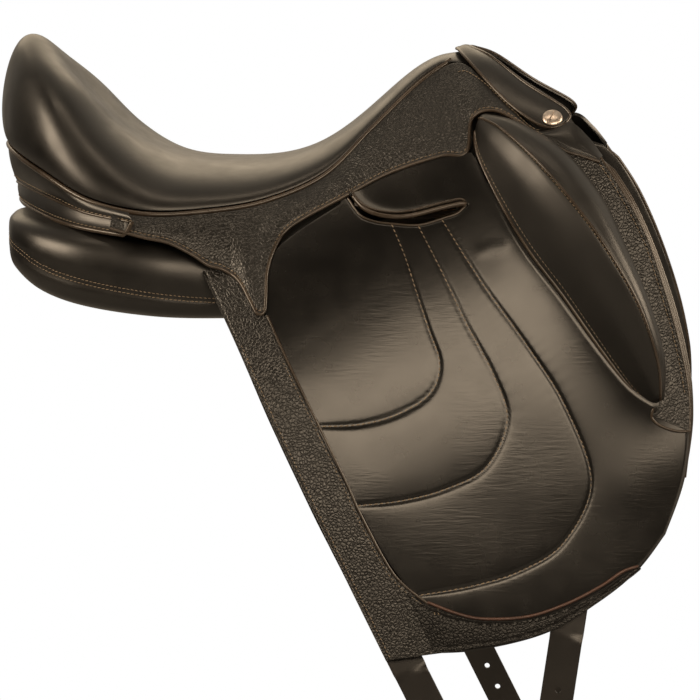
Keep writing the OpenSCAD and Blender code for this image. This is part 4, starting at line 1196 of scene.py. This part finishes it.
bpy.ops.object.select_all(action="DESELECT")
bpy.ops.mesh.primitive_plane_add(size=12, location=(0, 0, floor_z))
floor = bpy.context.object
floor.name = "floor"
paper, nodes, links, shader, where = new_material("white_paper")
shader.inputs["Base Color"].default_value = (0.3, 0.3, 0.3, 1)
shader.inputs["Roughness"].default_value = 0.9
glow = nodes.new("ShaderNodeEmission")
# Painted shadow: the floor's white to the camera is darkened by ambient occlusion near the saddle.
shade = nodes.new("ShaderNodeAmbientOcclusion")
shade.inputs["Distance"].default_value = 0.4
links.new(ramp(nodes, links, shade.outputs["AO"], (0.0, (0.3, 0.3, 0.3)), (0.9, (1, 1, 1))), glow.inputs["Color"])
white_to_camera(paper.node_tree, shader.outputs["BSDF"], glow.outputs["Emission"], "Material Output")
floor.data.materials.append(paper)

world = bpy.data.worlds.new("studio")
bpy.context.scene.world = world
world.use_nodes = True
nodes, links = world.node_tree.nodes, world.node_tree.links
surround = nodes["Background"]
towards = nodes.new("ShaderNodeVectorMath")
towards.operation = "DOT_PRODUCT"
towards.inputs[1].default_value = (0, 0.8, 0.6)
links.new(nodes.new("ShaderNodeTexCoord").outputs["Generated"], towards.inputs[0])
links.new(ramp(nodes, links, towards.outputs["Value"], (0.0, (0.015, 0.013, 0.011)), (0.35, (0.05, 0.043, 0.036)),
               (0.85, (0.5, 0.43, 0.34))), surround.inputs["Color"])
surround.inputs["Strength"].default_value = 1.0
white = nodes.new("ShaderNodeBackground")
white.inputs["Color"].default_value = (1, 1, 1, 1)
white.inputs["Strength"].default_value = 1.0
white_to_camera(world.node_tree, surround.outputs["Background"], white.outputs["Background"], "World Output")


def softbox(name, place, towards, width, height, power, colour=warm):
    light = bpy.data.lights.new(name, "AREA")
    light.shape = "RECTANGLE"
    light.size, light.size_y = width, height
    light.energy = power
    light.color = colour
    lamp = bpy.data.objects.new(name, light)
    bpy.context.collection.objects.link(lamp)
    lamp.location = place
    way = np.array(towards, float) - place
    lamp.rotation_euler = (math.atan2(math.hypot(way[0], way[1]), -way[2]), 0,
                           math.atan2(way[1], way[0]) - math.pi / 2)


softbox("back_softbox", (-0.45, 1.6, 1.35), (-0.05, 0, 0.1), 1.9, 1.3, 11, (1.0, 0.8, 0.55))
softbox("top_softbox", (0.05, -0.6, 2.1), (0.05, 0, 0), 1.6, 0.3, 7)
softbox("front_softbox", (0.88, -2.28, 0.94), (0.1, 0, -0.05), 2.1, 0.78, 36)
softbox("left_softbox", (-1.9, -1.25, 1.2), (-0.05, 0, 0.05), 1.3, 1.0, 54)
softbox("right_softbox", (2.3, -0.2, 0.9), (0.2, 0, 0), 1.1, 1.1, 42)

camera = bpy.data.cameras.new("camera")
camera.lens = 189.2
camera.sensor_width = 36
camera.clip_end = 50
viewer = bpy.data.objects.new("camera", camera)
bpy.context.collection.objects.link(viewer)
azimuth, elevation, distance = math.radians(5), math.radians(6), 3.2
target = np.array((0.1, 0.0, -0.03))
level = np.array((math.sin(azimuth), -math.cos(azimuth), 0)) * math.cos(elevation)
viewer.location = target + distance * (level + (0, 0, math.sin(elevation)))
viewer.rotation_euler = (math.pi / 2 - elevation, 0, azimuth)
bpy.context.scene.camera = viewer
bpy.context.scene.view_settings.view_transform = "Standard"
